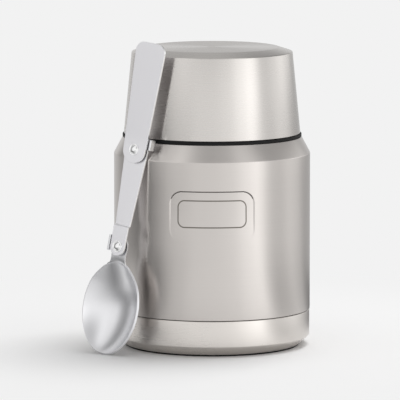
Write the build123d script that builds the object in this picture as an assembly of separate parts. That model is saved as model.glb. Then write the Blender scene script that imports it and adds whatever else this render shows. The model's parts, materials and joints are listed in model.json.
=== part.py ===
from build123d import *
import math
import os

# An insulated steel food jar: a vacuum-walled body, a screw stopper that seals the
# mouth and carries a serving cup, and a loose folding spoon that leans on the shoulder.
# Millimetres, +Z up, origin at the middle of the underside, -Y is the front.

# ---------------------------------------------------------------- driving sizes
# steel body
body_radius = 52.0
body_height = 83.0            # straight wall, from the seam to the shoulder crease
shell_wall = 0.7
shoulder_rise = 8.6
shoulder_inset = 4.6
neck_rise = 13.3              # from the shoulder's top to the lip
lip_thickness = 0.5
skirt_fit = 0.05              # radial fit of the body's skirt in the base cover
seam_gap = 0.4

# pressed panel on the front
panel_width = 46.0
panel_height = 27.0
panel_top_drop = 15.0         # below the shoulder crease
panel_corner = 7.0
panel_depth = 0.5

# base
pad_radius = 43.0
pad_thickness = 0.8
pad_edge = 0.3
base_step = 0.2               # the cover is this much smaller in radius than the body
base_height = 18.4
base_wall = 0.7
base_chamfer_in = 5.3
base_chamfer_rise = 4.7
base_top_round = 0.25
base_foot_round = 0.6

# inner flask and what lies in the vacuum
flask_wall = 0.6
side_vacuum = 3.7
neck_vacuum = 1.3
flask_shoulder_drop = 6.0     # straight wall ends this far below the shoulder crease
flask_floor_gap = 3.8
flask_corner = 9.0
flask_slope = 45.0            # degrees, cone between the straight side and the neck
end_disc_lift = 6.5           # underside of the vacuum end disc above the base plate
end_disc_thickness = 0.7
end_disc_rim = 1.0
end_disc_fit = 0.05
vent_radius = 1.0
bead_radius = 3.0
bead_foot_radius = 1.8
bead_height = 0.8
bead_fit = 0.05
getter_radius = 5.0
getter_height = 2.2
shield_gap = 0.05
shield_thickness = 0.3
shield_margin = 6.0

# screw threads: starts that run side by side, in bands that follow one helix
thread_starts = 4
thread_clearance = 0.4
thread_sink = 0.3             # how deep a band's root is buried in its wall
neck_thread_lead = 16.0
neck_thread_height = 1.2
neck_thread_root = 2.0
neck_thread_crest = 1.2
neck_thread_span = 140.0      # degrees
neck_thread_start = 3.9       # first band's middle above the shoulder's top
neck_thread_turn = 20.0       # degrees from the neck's bands to the stopper's
cup_thread_lead = 24.0
cup_thread_height = 1.1
cup_thread_root = 3.0
cup_thread_crest = 1.8
cup_thread_span = 90.0        # degrees
cup_thread_start = 3.7        # first band's middle above the flange
cup_thread_turn = 33.0        # degrees from the stopper's bands to the ring's

# stopper
flange_thickness = 1.6
flange_gap = 0.1              # above the shoulder
flange_edge = 0.3
flange_overhang = 0.05        # beyond the shoulder's top edge
stopper_height = 16.7         # from the shoulder's top to the stopper's top
skirt_wall = 1.6
web_thickness = 2.0
plug_clearance = 0.5
plug_depth = 19.5             # below the lip
plug_wall = 1.6
tray_wall = 2.1
tray_depth = 10.0
tray_floor = 1.6
tray_corner = 2.0
stopper_top_edge = 0.6
plug_cap_thickness = 1.0
plug_cap_spigot = 2.0
plug_cap_fit = 0.1
foam_gap = 0.2
gasket_inner_margin = 0.4
gasket_outer_margin = 1.0
grip_rib_count = 36
grip_rib_radius = 0.35

# serving cup
cup_rim_step = 0.6            # cup's rim is this much smaller than the shoulder's top
cup_seat_gap = 0.1            # cup's rim above the stopper's flange
cup_wall = 0.6
cup_side_height = 43.2
cup_side_inset = 4.2
cup_edge_round = 1.0
crown_rise = 2.5
crown_inset = 7.6
crown_round = 6.0
cup_rim_round = 0.2
ring_wall = 0.95              # thinnest wall of the thread ring
ring_height = 10.6
ring_fit = 0.1
cup_gasket_height = 1.0
cup_gasket_margin = 0.2
liner_wall = 1.2
liner_side_gap = 1.6
liner_top_gap = 2.6
liner_corner = 7.0
liner_corner_fill = 1.0       # its inside corner is this much tighter than its outside
liner_step_round = 2.0
liner_slope_round = 4.0
liner_neck_height = 4.6
liner_neck_gap = 0.5

# folding spoon, along its own length from the tip of the bowl
spoon_sheet = 1.1
bowl_length = 49.2
neck_reach = 8.5              # from the bowl's end to its rivet
arm_reach = 51.6              # between the two rivets
handle_reach = 57.2           # from the handle's rivet to its end
bowl_width = 35.0
bowl_depth = 8.0
bowl_roundness = 7.0          # centre of the bowl's curve above its rim
bowl_wall = 1.0
bowl_rim_setback = 0.2
bowl_neck_width = 9.8
bowl_neck_end = 5.2
neck_ramp_start = 6.9         # from the pivot towards the bowl
neck_ramp_end = 10.4
neck_flare_width = 0.52       # where the neck spreads into the bowl, as a share of its width
neck_flare_place = 0.93       # as a share of the bowl's length
neck_flare_waist = 1.13       # as a share of the neck's width
neck_flare_rise = 1.4         # the waist above the ramp's foot
arm_tab_width = 9.4
arm_tab_end = 4.9
arm_low_width = 9.6
arm_top_width = 14.8
arm_joggle_start = 10.3       # from the bowl's pivot
arm_joggle_end = 11.8
joggle_slant = 0.4            # a bend's front lies this much further along than its back
layer_gap = 0.1
handle_low_width = 14.4
handle_top_width = 19.6
handle_corner = 5.5
handle_tilt = 1.862           # degrees, away from the arm
handle_flat = 8.0             # flat stretch about the pivot
handle_trim = 1.0             # what is cut off beyond the handle's end
washer_thickness = 0.9
washer_radius = 3.3
rivet_radius = 1.4
rivet_fit = 0.05
rivet_head_radius = 3.0
rivet_head_height = 0.75
rivet_gap = 0.05
countersink_radius = 2.3
countersink_depth = 0.8
arm_stop_reach = 3.2          # stop tab beyond the arm's side
arm_stop_height = 3.8
arm_stop_length = 5.5
arm_stop_offset = 1.1         # above the handle's pivot
bowl_stop_gap = 0.4           # between the bowl's stop tab and the arm
bowl_stop_height = 2.7
bowl_stop_length = 8.2
bowl_stop_low = -2.9          # lower end, from the bowl's pivot

# how the spoon leans
lean_angle = 8.3              # of the spoon's flat from upright
facing_angle = 36.0           # its front faces this far left of the jar's front
roll_angle = 6.8              # tilt of its length within its own flat
foot_side = -23.6             # the bowl's tip, sideways from the line it leans along
rest_gap = 0.3                # between the spoon and the shoulder, and above the floor
floor_gap = 0.2

# ---------------------------------------------------------------- heights and radii
base_bottom = pad_thickness
base_radius = body_radius - base_step
base_foot_radius = base_radius - base_chamfer_in
seam_height = base_bottom + base_height
shell_bottom = seam_height + seam_gap
shoulder_height = shell_bottom + body_height
shoulder_top = shoulder_height + shoulder_rise
shoulder_top_radius = body_radius - shoulder_inset
lip_height = shoulder_top + neck_rise

skirt_radius = base_radius - base_wall - skirt_fit
end_disc_bottom = base_bottom + base_wall + end_disc_lift
end_disc_radius = skirt_radius - shell_wall - end_disc_fit
end_disc_top = end_disc_bottom + end_disc_rim + end_disc_thickness

flange_bottom = shoulder_top + flange_gap
flange_top = flange_bottom + flange_thickness
cup_rim_height = flange_top + cup_seat_gap
cup_rim_radius = shoulder_top_radius - cup_rim_step
cup_taper = cup_side_inset / cup_side_height
ring_bottom = flange_top + cup_gasket_height
ring_top = ring_bottom + ring_height

bowl_pivot = bowl_length + neck_reach
handle_pivot = bowl_pivot + arm_reach
spoon_length = handle_pivot + handle_reach


def cup_inner_radius(height):
    """Radius of the steel cup's inside at a height on its tapered side."""
    return cup_rim_radius - cup_wall - (height - cup_rim_height) * cup_taper


# the radii of both threads follow inwards from the cup's side
ring_bore = cup_inner_radius(ring_top) - ring_fit - ring_wall
stopper_radius = ring_bore - thread_clearance - cup_thread_height
stopper_bore = stopper_radius - skirt_wall
neck_radius = stopper_bore - thread_clearance - neck_thread_height
flask_neck_radius = neck_radius - shell_wall - neck_vacuum
mouth_radius = flask_neck_radius - flask_wall
plug_radius = mouth_radius - plug_clearance

flask_radius = body_radius - shell_wall - side_vacuum
flask_bottom = end_disc_top + flask_floor_gap
flask_side_top = shoulder_height - flask_shoulder_drop
flask_cone = (flask_radius - flask_neck_radius) * math.tan(math.radians(flask_slope))
flask_neck_bottom = flask_side_top + flask_cone

stopper_top = shoulder_top + stopper_height
web_bottom = stopper_top - web_thickness
plug_bottom = lip_height - plug_depth
tray_height = stopper_top - tray_depth
tray_radius = plug_radius - tray_wall


# ---------------------------------------------------------------- making shapes
def turned(points):
    """A solid of revolution about Z from a closed outline of (radius, height)."""
    return revolve(Plane.XZ * make_face(Polyline(*points, close=True)), Axis.Z)


def turned_round(points, radii):
    """As turned, with a fillet radius for each corner, 0 where it stays sharp."""
    outline = FilletPolyline(*points, radius=radii, close=True)
    return revolve(Plane.XZ * make_face(outline), Axis.Z)


def disc(radius, bottom, top):
    """An upright round solid on the Z axis."""
    return extrude(Pos(0, 0, bottom) * Circle(radius), top - bottom)


def ring(inner, outer, bottom, top):
    """An upright ring on the Z axis."""
    return turned([(inner, bottom), (outer, bottom), (outer, top), (inner, top)])


def thread_bands(radius, side, lead, height, root, crest, span, start_height, start_angle):
    """One band for each start of a thread; side is 1 outside a wall and -1 inside it."""
    path = Helix(pitch=lead, height=lead * span / 360, radius=radius, center=(0, 0, start_height))
    section_plane = Plane(origin=path @ 0, x_dir=(side, 0, 0), z_dir=path % 0)
    section = Polyline(
        (-thread_sink, -root / 2), (0, -root / 2), (height, -crest / 2),
        (height, crest / 2), (0, root / 2), (-thread_sink, root / 2), close=True,
    )
    band = sweep(section_plane * make_face(section), path=path, is_frenet=True)
    turns = [start_angle + 360 * start / thread_starts for start in range(thread_starts)]
    return [Rotation(0, 0, turn) * band for turn in turns]


def neck_thread(radius, side, shift):
    """Bands of the neck thread; shift moves them along the helix, in degrees."""
    start = shoulder_top + neck_thread_start + neck_thread_lead * shift / 360
    if side < 0:
        start -= neck_thread_lead / thread_starts / 2
    return thread_bands(
        radius, side, neck_thread_lead, neck_thread_height, neck_thread_root,
        neck_thread_crest, neck_thread_span, start, shift,
    )


def cup_thread(radius, side, shift):
    """Bands of the cup thread; shift moves them along the helix, in degrees."""
    start = flange_top + cup_thread_start + cup_thread_lead * shift / 360
    if side < 0:
        start -= cup_thread_lead / thread_starts / 2
    return thread_bands(
        radius, side, cup_thread_lead, cup_thread_height, cup_thread_root,
        cup_thread_crest, cup_thread_span, start, shift,
    )


# ---------------------------------------------------------------- steel body
def panel_prism(margin, depth_from, depth_to):
    """The front panel's rounded outline, run backwards through the front wall."""
    middle = shoulder_height - panel_top_drop - panel_height / 2
    outline = RectangleRounded(
        panel_width + 2 * margin, panel_height + 2 * margin, panel_corner + margin
    )
    face = Plane(origin=(0, -depth_to, middle), x_dir=(1, 0, 0), z_dir=(0, 1, 0)) * outline
    return extrude(face, depth_to - depth_from)


def panel_layer(outer_radius, inner_top_radius, margin):
    """A curved layer in the panel's outline that thins out towards its lower edge."""
    top = shoulder_height - panel_top_drop + margin
    bottom = top - panel_height - 2 * margin
    layer = turned([
        (inner_top_radius, top), (outer_radius, top), (outer_radius, bottom),
    ])
    return layer & panel_prism(margin, 0, 2 * body_radius)


def make_outer_shell():
    """Outer wall: skirt, straight side, conical shoulder, threaded neck, pressed panel."""
    lip_bottom = lip_height - lip_thickness
    inner_radius = body_radius - shell_wall
    skirt_inner = skirt_radius - shell_wall
    neck_inner = neck_radius - shell_wall
    shell = turned([
        (skirt_inner, end_disc_bottom), (skirt_radius, end_disc_bottom),
        (skirt_radius, shell_bottom), (body_radius, shell_bottom),
        (body_radius, shoulder_height), (shoulder_top_radius, shoulder_top),
        (neck_radius, shoulder_top), (neck_radius, lip_bottom),
        (neck_inner, lip_bottom), (neck_inner, shoulder_top - shell_wall),
        (shoulder_top_radius - shell_wall, shoulder_top - shell_wall),
        (inner_radius, shoulder_height - shell_wall / 2),
        (inner_radius, shell_bottom + shell_wall), (skirt_inner, shell_bottom + shell_wall),
    ])
    for band in neck_thread(neck_radius, 1, 0):
        shell += band
    shell += panel_layer(inner_radius + shell_wall / 2, inner_radius - panel_depth, shell_wall)
    return shell - panel_layer(body_radius + shell_wall, body_radius - panel_depth, 0)


def make_inner_flask():
    """Inner wall, from the closed floor to the lip that covers the neck's end."""
    lip_bottom = lip_height - lip_thickness
    inner_radius = flask_radius - flask_wall
    wall_shift = flask_wall * math.tan(math.radians(flask_slope / 2))
    outline = [
        (0, flask_bottom), (flask_radius, flask_bottom), (flask_radius, flask_side_top),
        (flask_neck_radius, flask_neck_bottom), (flask_neck_radius, lip_bottom),
        (neck_radius, lip_bottom), (neck_radius, lip_height), (mouth_radius, lip_height),
        (mouth_radius, flask_neck_bottom - wall_shift),
        (inner_radius, flask_side_top - wall_shift),
        (inner_radius, flask_bottom + flask_wall), (0, flask_bottom + flask_wall),
    ]
    inner_corner = flask_corner - flask_wall
    radii = [0, flask_corner, 0, 0, 0, 0, 0, 0, 0, 0, inner_corner, 0]
    return turned_round(outline, radii)


def make_heat_shield():
    """Foil wrap that reflects heat, close round the inner flask's straight side."""
    inner = flask_radius + shield_gap
    bottom = flask_bottom + flask_corner + shield_margin
    return ring(inner, inner + shield_thickness, bottom, flask_side_top - shield_margin)


def make_vacuum_end_disc():
    """Disc that closes the vacuum space, with its rim turned down and a vent hole."""
    plate_bottom = end_disc_bottom + end_disc_rim
    rim_inner = end_disc_radius - end_disc_thickness
    return turned([
        (vent_radius, plate_bottom), (rim_inner, plate_bottom), (rim_inner, end_disc_bottom),
        (end_disc_radius, end_disc_bottom), (end_disc_radius, end_disc_top),
        (vent_radius, end_disc_top),
    ])


def make_vacuum_seal():
    """Button of sealing metal that plugs the vent hole from below."""
    plate_bottom = end_disc_bottom + end_disc_rim
    pin_radius = vent_radius - bead_fit
    return turned([
        (0, plate_bottom - bead_height), (bead_foot_radius, plate_bottom - bead_height),
        (bead_radius, plate_bottom), (pin_radius, plate_bottom),
        (pin_radius, end_disc_top), (0, end_disc_top),
    ])


def make_getter():
    """Small pellet under the flask's floor that keeps the vacuum clean."""
    return disc(getter_radius, flask_bottom - getter_height, flask_bottom)


def make_base_cover():
    """Steel cover under the body, with a broad chamfer round its foot."""
    inner_radius = base_radius - base_wall
    plate_top = base_bottom + base_wall
    chamfer_top = base_bottom + base_chamfer_rise
    outline = [
        (0, base_bottom), (base_foot_radius, base_bottom), (base_radius, chamfer_top),
        (base_radius, seam_height), (inner_radius, seam_height),
        (inner_radius, chamfer_top + base_wall / 2),
        (base_foot_radius - base_wall / 2, plate_top), (0, plate_top),
    ]
    foot = base_foot_round
    return turned_round(outline, [0, foot, foot, base_top_round, base_top_round, 0, 0, 0])


def make_base_pad():
    """Soft pad that the jar stands on."""
    pad = disc(pad_radius, 0, pad_thickness)
    return fillet(pad.edges().sort_by(Axis.Z)[0], pad_edge)


# ---------------------------------------------------------------- stopper
def make_stopper_body():
    """Screw stopper: flange, threaded skirt round the neck, plug wall and spoon tray."""
    flange_radius = shoulder_top_radius + flange_overhang
    plug_open = plug_bottom + plug_cap_thickness
    plug_inner = plug_radius - plug_wall
    tray_under = tray_height - tray_floor
    outline = [
        (stopper_bore, flange_bottom), (flange_radius, flange_bottom),
        (flange_radius, flange_top), (stopper_radius, flange_top),
        (stopper_radius, stopper_top), (tray_radius, stopper_top),
        (tray_radius, tray_height), (0, tray_height), (0, tray_under),
        (plug_inner, tray_under), (plug_inner, plug_open), (plug_radius, plug_open),
        (plug_radius, web_bottom), (stopper_bore, web_bottom),
    ]
    radii = [
        0, flange_edge, flange_edge, 0, stopper_top_edge, stopper_top_edge, tray_corner,
        0, 0, tray_floor / 2, 0, 0, 0, 0,
    ]
    body = turned_round(outline, radii)
    for band in neck_thread(stopper_bore, -1, neck_thread_turn):
        body += band
    for band in cup_thread(stopper_radius, 1, 0):
        body += band
    rib = Pos(tray_radius, 0, tray_height + tray_corner) * Cylinder(
        grip_rib_radius, tray_depth - 2 * tray_corner, align=(Align.CENTER, Align.CENTER, Align.MIN)
    )
    for index in range(grip_rib_count):
        body += Rotation(0, 0, 360 * index / grip_rib_count) * rib
    return body


def make_plug_cap():
    """Disc with a spigot that closes the plug from below."""
    spigot_outer = plug_radius - plug_wall - plug_cap_fit
    spigot_inner = spigot_outer - plug_wall
    plate_top = plug_bottom + plug_cap_thickness
    return turned([
        (0, plug_bottom), (plug_radius - plug_cap_thickness, plug_bottom),
        (plug_radius, plate_top), (spigot_outer, plate_top),
        (spigot_outer, plate_top + plug_cap_spigot),
        (spigot_inner, plate_top + plug_cap_spigot), (spigot_inner, plate_top), (0, plate_top),
    ])


def make_plug_foam():
    """Foam puck that insulates the plug."""
    bottom = plug_bottom + plug_cap_thickness + plug_cap_spigot + foam_gap
    top = tray_height - tray_floor - foam_gap
    return disc(plug_radius - plug_wall - tray_floor / 2 - foam_gap, bottom, top)


def make_stopper_gasket():
    """Silicone ring between the flask's lip and the stopper's web."""
    inner = mouth_radius + gasket_inner_margin
    return ring(inner, stopper_bore - gasket_outer_margin, lip_height, web_bottom)


# ---------------------------------------------------------------- serving cup
def make_cup_shell():
    """Steel outside of the cup: tapered side, soft edge and low crown."""
    side_top = cup_rim_height + cup_side_height
    top_radius = cup_rim_radius - cup_side_inset
    crown_radius = top_radius - crown_inset
    crown_height = side_top + crown_rise
    outline = [
        (0, crown_height), (crown_radius, crown_height), (top_radius, side_top),
        (cup_rim_radius, cup_rim_height), (cup_rim_radius - cup_wall, cup_rim_height),
        (top_radius - cup_wall, side_top - cup_wall),
        (crown_radius, crown_height - cup_wall), (0, crown_height - cup_wall),
    ]
    radii = [
        0, crown_round, cup_edge_round, cup_rim_round, cup_rim_round,
        cup_edge_round - cup_wall / 2, crown_round, 0,
    ]
    return turned_round(outline, radii)


def liner_top_height():
    """Outside height of the liner's closed end."""
    return cup_rim_height + cup_side_height + crown_rise - cup_wall - liner_top_gap


def make_cup_liner():
    """Moulded inside of the cup, which holds the food when the cup is a bowl."""
    top = liner_top_height()
    neck_top = ring_top + liner_neck_height
    foot_outer = cup_inner_radius(ring_top) - ring_fit
    neck_outer = cup_inner_radius(neck_top) - liner_neck_gap
    top_outer = cup_inner_radius(top) - liner_side_gap
    foot_inner = stopper_radius + liner_neck_gap
    outline = [
        (0, top), (top_outer, top), (neck_outer, neck_top), (foot_outer, ring_top),
        (foot_inner, ring_top), (foot_inner, neck_top),
        (top_outer - liner_wall, top - liner_corner), (top_outer - liner_wall, top - liner_wall),
        (0, top - liner_wall),
    ]
    inner_corner = liner_corner - liner_wall - liner_corner_fill
    radii = [0, liner_corner, 0, 0, 0, liner_step_round, liner_slope_round, inner_corner, 0]
    return turned_round(outline, radii)


def make_cup_foam():
    """Foam disc between the liner's closed end and the steel crown."""
    top = cup_rim_height + cup_side_height + crown_rise - cup_wall
    radius = cup_rim_radius - cup_side_inset - crown_inset - foam_gap
    return disc(radius, liner_top_height(), top - foam_gap)


def make_thread_ring():
    """Threaded ring pressed into the cup's rim."""
    outer_bottom = cup_inner_radius(ring_bottom) - ring_fit
    outer_top = cup_inner_radius(ring_top) - ring_fit
    body = turned([
        (ring_bore, ring_bottom), (outer_bottom, ring_bottom),
        (outer_top, ring_top), (ring_bore, ring_top),
    ])
    for band in cup_thread(ring_bore, -1, cup_thread_turn):
        body += band
    return body


def make_cup_gasket():
    """Flat seal between the cup's thread ring and the stopper's flange."""
    inner = stopper_radius + cup_thread_height + thread_clearance
    return ring(inner, cup_inner_radius(ring_bottom) - cup_gasket_margin, flange_top, ring_bottom)


# ---------------------------------------------------------------- folding spoon
# In the spoon's own space X is to the right, Y runs from the bowl's tip to the
# handle's end and Z points out of its front; the arm's back lies at Z = 0.
tab_back = spoon_sheet + layer_gap
tab_front = tab_back + spoon_sheet
handle_back = spoon_sheet + washer_thickness + rivet_gap
handle_front = handle_back + spoon_sheet


def side_band(points):
    """A bent strip from an outline of (along, out), wide enough to be trimmed."""
    outline = make_face(Polyline(*points, close=True))
    half = bowl_width
    return extrude(Plane(origin=(-half, 0, 0), x_dir=(0, 1, 0), z_dir=(1, 0, 0)) * outline, 2 * half)


def plan_prism(face):
    """A front outline run through the whole depth of the spoon."""
    return extrude(Pos(0, 0, -bowl_width) * face, 2 * bowl_width)


def strip_outline(low, low_half, high, high_half):
    """A straight-sided outline between two places along the spoon."""
    return make_face(Polyline(
        (-low_half, low), (low_half, low), (high_half, high), (-high_half, high), close=True
    ))


def make_spoon_handle():
    """Handle: a tapered plate, flat at its rivet and then tilted away from the arm."""
    low_half = handle_low_width / 2
    top_half = handle_top_width / 2
    strip = strip_outline(handle_pivot, low_half, spoon_length, top_half)
    top_corners = strip.vertices().sort_by(Axis.Y)[-2:]
    outline = fillet(top_corners, handle_corner) + Pos(0, handle_pivot) * Circle(low_half)
    low = handle_pivot - handle_low_width
    bend = handle_pivot + handle_flat
    end = spoon_length + handle_trim
    rise = (end - bend) * math.tan(math.radians(handle_tilt))
    band = side_band([
        (low, handle_back), (bend, handle_back), (end, handle_back + rise),
        (end, handle_front + rise), (bend, handle_front), (low, handle_front),
    ])
    hole = Pos(0, handle_pivot) * Circle(rivet_radius + rivet_fit)
    return (band & plan_prism(outline)) - plan_prism(hole)


def make_spoon_arm():
    """Middle link, with a raised tab over the bowl's neck and a stop for the handle."""
    low = bowl_pivot + arm_joggle_start
    high = bowl_pivot + arm_joggle_end
    bottom = bowl_pivot - arm_low_width
    top = handle_pivot + arm_top_width
    band = side_band([
        (bottom, tab_back), (low, tab_back), (high, 0), (top, 0), (top, spoon_sheet),
        (high + joggle_slant, spoon_sheet), (low + joggle_slant, tab_front), (bottom, tab_front),
    ])
    tab_half = arm_tab_width / 2
    outline = strip_outline(high, arm_low_width / 2, handle_pivot, arm_top_width / 2)
    outline += strip_outline(bowl_pivot, tab_half, high, tab_half)
    outline += Pos(0, bowl_pivot) * Circle(arm_tab_end)
    outline += Pos(0, handle_pivot) * Circle(arm_top_width / 2)
    arm = band & plan_prism(outline)

    stop_outer = arm_top_width / 2 + arm_stop_reach
    stop_inner = stop_outer - spoon_sheet
    stop_low = handle_pivot + arm_stop_offset
    bridge = Pos(0, stop_low, 0) * Box(
        stop_outer, arm_stop_length, spoon_sheet, align=(Align.MIN, Align.MIN, Align.MIN)
    )
    tongue = Pos(stop_inner, stop_low, 0) * Box(
        spoon_sheet, arm_stop_length, arm_stop_height, align=(Align.MIN, Align.MIN, Align.MIN)
    )
    arm += bridge
    arm += tongue
    arm -= plan_prism(Pos(0, bowl_pivot) * Circle(rivet_radius + rivet_fit))
    arm -= plan_prism(Pos(0, handle_pivot) * Circle(rivet_radius + rivet_fit))
    return arm - Pos(0, handle_pivot, 0) * countersunk_tail(rivet_fit)


def make_spoon_bowl():
    """Bowl: the cap of an egg-shaped shell, its neck and the stop for the arm."""
    rim = -bowl_rim_setback
    centre = (0, bowl_length / 2, rim + bowl_roundness)
    height = bowl_depth + bowl_roundness
    spread = math.sqrt(1 - (bowl_roundness / height) ** 2)
    half_width = bowl_width / 2 / spread
    half_length = bowl_length / 2 / spread
    outer = scale(Sphere(1), by=(half_width, half_length, height))
    inner = scale(
        Sphere(1), by=(half_width - bowl_wall, half_length - bowl_wall, height - bowl_wall)
    )
    hollow = Pos(*centre) * inner
    below_rim = Pos(0, 0, rim) * Box(
        4 * bowl_width, 4 * bowl_length, 4 * height, align=(Align.CENTER, Align.CENTER, Align.MAX)
    )
    bowl = (Pos(*centre) * outer - hollow) & below_rim

    ramp_high = bowl_pivot - neck_ramp_start
    ramp_low = bowl_pivot - neck_ramp_end
    inside = bowl_length - bowl_neck_width / 2
    top = bowl_pivot + bowl_neck_width
    band = side_band([
        (inside, rim), (ramp_low, rim), (ramp_high, spoon_sheet), (top, spoon_sheet),
        (top, 0), (ramp_high + joggle_slant, 0), (ramp_low + joggle_slant, rim - spoon_sheet),
        (inside, rim - spoon_sheet),
    ])
    neck_half = bowl_neck_width / 2
    flare_half = neck_flare_width * bowl_width / 2
    flare_low = neck_flare_place * bowl_length
    waist_half = neck_flare_waist * neck_half
    waist = ramp_low + neck_flare_rise
    left_flare = ThreePointArc(
        (-neck_half, ramp_high), (-waist_half, waist), (-flare_half, flare_low)
    )
    right_flare = ThreePointArc(
        (flare_half, flare_low), (waist_half, waist), (neck_half, ramp_high)
    )
    close_low = Line((-flare_half, flare_low), (flare_half, flare_low))
    close_high = Line((neck_half, ramp_high), (-neck_half, ramp_high))
    outline = make_face([left_flare, close_low, right_flare, close_high])
    outline += strip_outline(ramp_high, neck_half, bowl_pivot, neck_half)
    outline += Pos(0, bowl_pivot) * Circle(bowl_neck_end)
    bowl += (band & plan_prism(outline)) - hollow

    stop_inner = -(arm_tab_width / 2 + bowl_stop_gap)
    stop_low = bowl_pivot + bowl_stop_low
    bridge = Pos(0, stop_low, 0) * Box(
        bowl_stop_length / 2, bowl_stop_length, spoon_sheet, align=(Align.MAX, Align.MIN, Align.MIN)
    )
    tongue = Pos(stop_inner, stop_low, 0) * Box(
        spoon_sheet, bowl_stop_length, bowl_stop_height, align=(Align.MAX, Align.MIN, Align.MIN)
    )
    web = Pos(stop_inner, stop_low, 0) * Box(
        2 * spoon_sheet, bowl_stop_length, spoon_sheet, align=(Align.CENTER, Align.MIN, Align.MIN)
    )
    bowl += bridge
    bowl += web
    bowl += tongue
    return bowl - plan_prism(Pos(0, bowl_pivot) * Circle(rivet_radius + rivet_fit))


def rivet_head(out, reach):
    """A low domed head whose flat side is at a given height; reach -1 turns it over."""
    curve = (rivet_head_radius ** 2 + rivet_head_height ** 2) / (2 * rivet_head_height)
    dome = Pos(0, 0, rivet_head_height - curve) * Sphere(curve)
    head = dome & disc(rivet_head_radius + rivet_head_height, 0, rivet_head_height)
    turn = 0 if reach > 0 else 180
    return Pos(0, 0, out) * Rotation(turn, 0, 0) * head


def countersunk_tail(margin):
    """The flared end of a rivet, flush with the arm's back."""
    return turned([
        (0, 0), (countersink_radius + margin, 0), (rivet_radius + margin, countersink_depth),
        (0, countersink_depth),
    ])


def make_handle_rivet():
    """Rivet through the arm, washer and handle, flush behind."""
    head_at = handle_front + rivet_gap
    shank = disc(rivet_radius, 0, head_at)
    rivet = shank + rivet_head(head_at, 1) + countersunk_tail(0)
    return Pos(0, handle_pivot, 0) * rivet


def make_bowl_rivet():
    """Rivet through the arm's tab and the bowl's neck, domed on both sides."""
    head_at = tab_front + rivet_gap
    shank = disc(rivet_radius, -rivet_gap, head_at)
    rivet = shank + rivet_head(head_at, 1) + rivet_head(-rivet_gap, -1)
    return Pos(0, bowl_pivot, 0) * rivet


def make_handle_washer():
    """Spacer that keeps the folded handle clear of the arm."""
    washer = ring(rivet_radius + rivet_fit, washer_radius, spoon_sheet, handle_back - rivet_gap)
    return Pos(0, handle_pivot, 0) * washer


def spoon_place(bowl):
    """The spoon's leaning place: its back just clear of the shoulder, its tip on the floor."""
    lean = math.radians(lean_angle)
    face = math.radians(facing_angle)
    roll = math.radians(roll_angle)
    outward = Vector(-math.sin(face), -math.cos(face), 0)
    sideways = Vector(math.cos(face), -math.sin(face), 0)
    normal = outward * math.cos(lean) + Vector(0, 0, 1) * math.sin(lean)
    upward = Vector(0, 0, 1) * math.cos(lean) - outward * math.sin(lean)
    right = sideways * math.cos(roll) - upward * math.sin(roll)
    contact = body_radius * math.cos(lean) + shoulder_height * math.sin(lean) + rest_gap
    foot = outward * (contact / math.cos(lean)) + sideways * foot_side
    place = Plane(origin=foot, x_dir=right, z_dir=normal)
    low = (place.location * bowl).bounding_box().min.Z
    rise = floor_gap - low
    drawn_out = rise * math.tan(lean)
    return Plane(origin=foot + outward * -drawn_out + Vector(0, 0, rise), x_dir=right, z_dir=normal)


# ---------------------------------------------------------------- writing the parts
spoon_bowl = make_spoon_bowl()
place = spoon_place(spoon_bowl).location

pieces = {
    "outer_shell": make_outer_shell(),
    "inner_flask": make_inner_flask(),
    "heat_shield": make_heat_shield(),
    "vacuum_end_disc": make_vacuum_end_disc(),
    "vacuum_seal": make_vacuum_seal(),
    "getter": make_getter(),
    "base_cover": make_base_cover(),
    "base_pad": make_base_pad(),
    "stopper_body": make_stopper_body(),
    "plug_cap": make_plug_cap(),
    "plug_foam": make_plug_foam(),
    "stopper_gasket": make_stopper_gasket(),
    "cup_shell": make_cup_shell(),
    "cup_liner": make_cup_liner(),
    "cup_foam": make_cup_foam(),
    "cup_thread_ring": make_thread_ring(),
    "cup_gasket": make_cup_gasket(),
    "spoon_handle": place * make_spoon_handle(),
    "spoon_arm": place * make_spoon_arm(),
    "spoon_bowl": place * spoon_bowl,
    "handle_rivet": place * make_handle_rivet(),
    "bowl_rivet": place * make_bowl_rivet(),
    "handle_washer": place * make_handle_washer(),
}

os.makedirs("parts", exist_ok=True)
for name, shape in pieces.items():
    shape.label = name
    export_step(shape, f"parts/{name}.step")
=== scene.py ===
import json
import logging
import math
from collections.abc import Callable, Iterator
from contextlib import contextmanager
from dataclasses import dataclass, field
from enum import Enum
from typing import Any, Optional, Union

import bpy
from mathutils import Matrix, Vector


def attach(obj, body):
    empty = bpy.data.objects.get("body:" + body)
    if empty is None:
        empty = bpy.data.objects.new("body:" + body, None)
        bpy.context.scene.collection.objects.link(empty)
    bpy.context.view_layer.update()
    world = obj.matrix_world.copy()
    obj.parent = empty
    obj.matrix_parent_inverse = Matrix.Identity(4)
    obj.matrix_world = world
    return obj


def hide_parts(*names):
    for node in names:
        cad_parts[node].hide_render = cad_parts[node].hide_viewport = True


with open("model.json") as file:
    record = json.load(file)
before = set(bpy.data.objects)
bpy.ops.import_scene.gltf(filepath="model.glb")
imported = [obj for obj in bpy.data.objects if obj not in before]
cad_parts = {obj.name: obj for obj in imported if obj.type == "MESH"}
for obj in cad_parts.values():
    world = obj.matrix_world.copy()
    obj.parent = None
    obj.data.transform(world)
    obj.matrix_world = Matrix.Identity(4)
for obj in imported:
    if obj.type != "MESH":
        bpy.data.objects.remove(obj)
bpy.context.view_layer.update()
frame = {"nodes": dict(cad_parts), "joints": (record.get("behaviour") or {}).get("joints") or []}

MM = 0.001
FULL_TURN = 360.0
SAME_PLACE = 2e-6           # metres, two places this close are one
ON_LINE = 0.01              # millimetres, a vertex this close to a line is on it
BOWL_PIVOT = 57.7           # the spoon's two rivets, in millimetres from its tip
HANDLE_PIVOT = 109.3
SHARP_BEND = 28.0           # degrees, an edge that turns more than this stays sharp to the eye
NOISE_LOW = 0.3             # a noise's values mostly keep between these two
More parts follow.
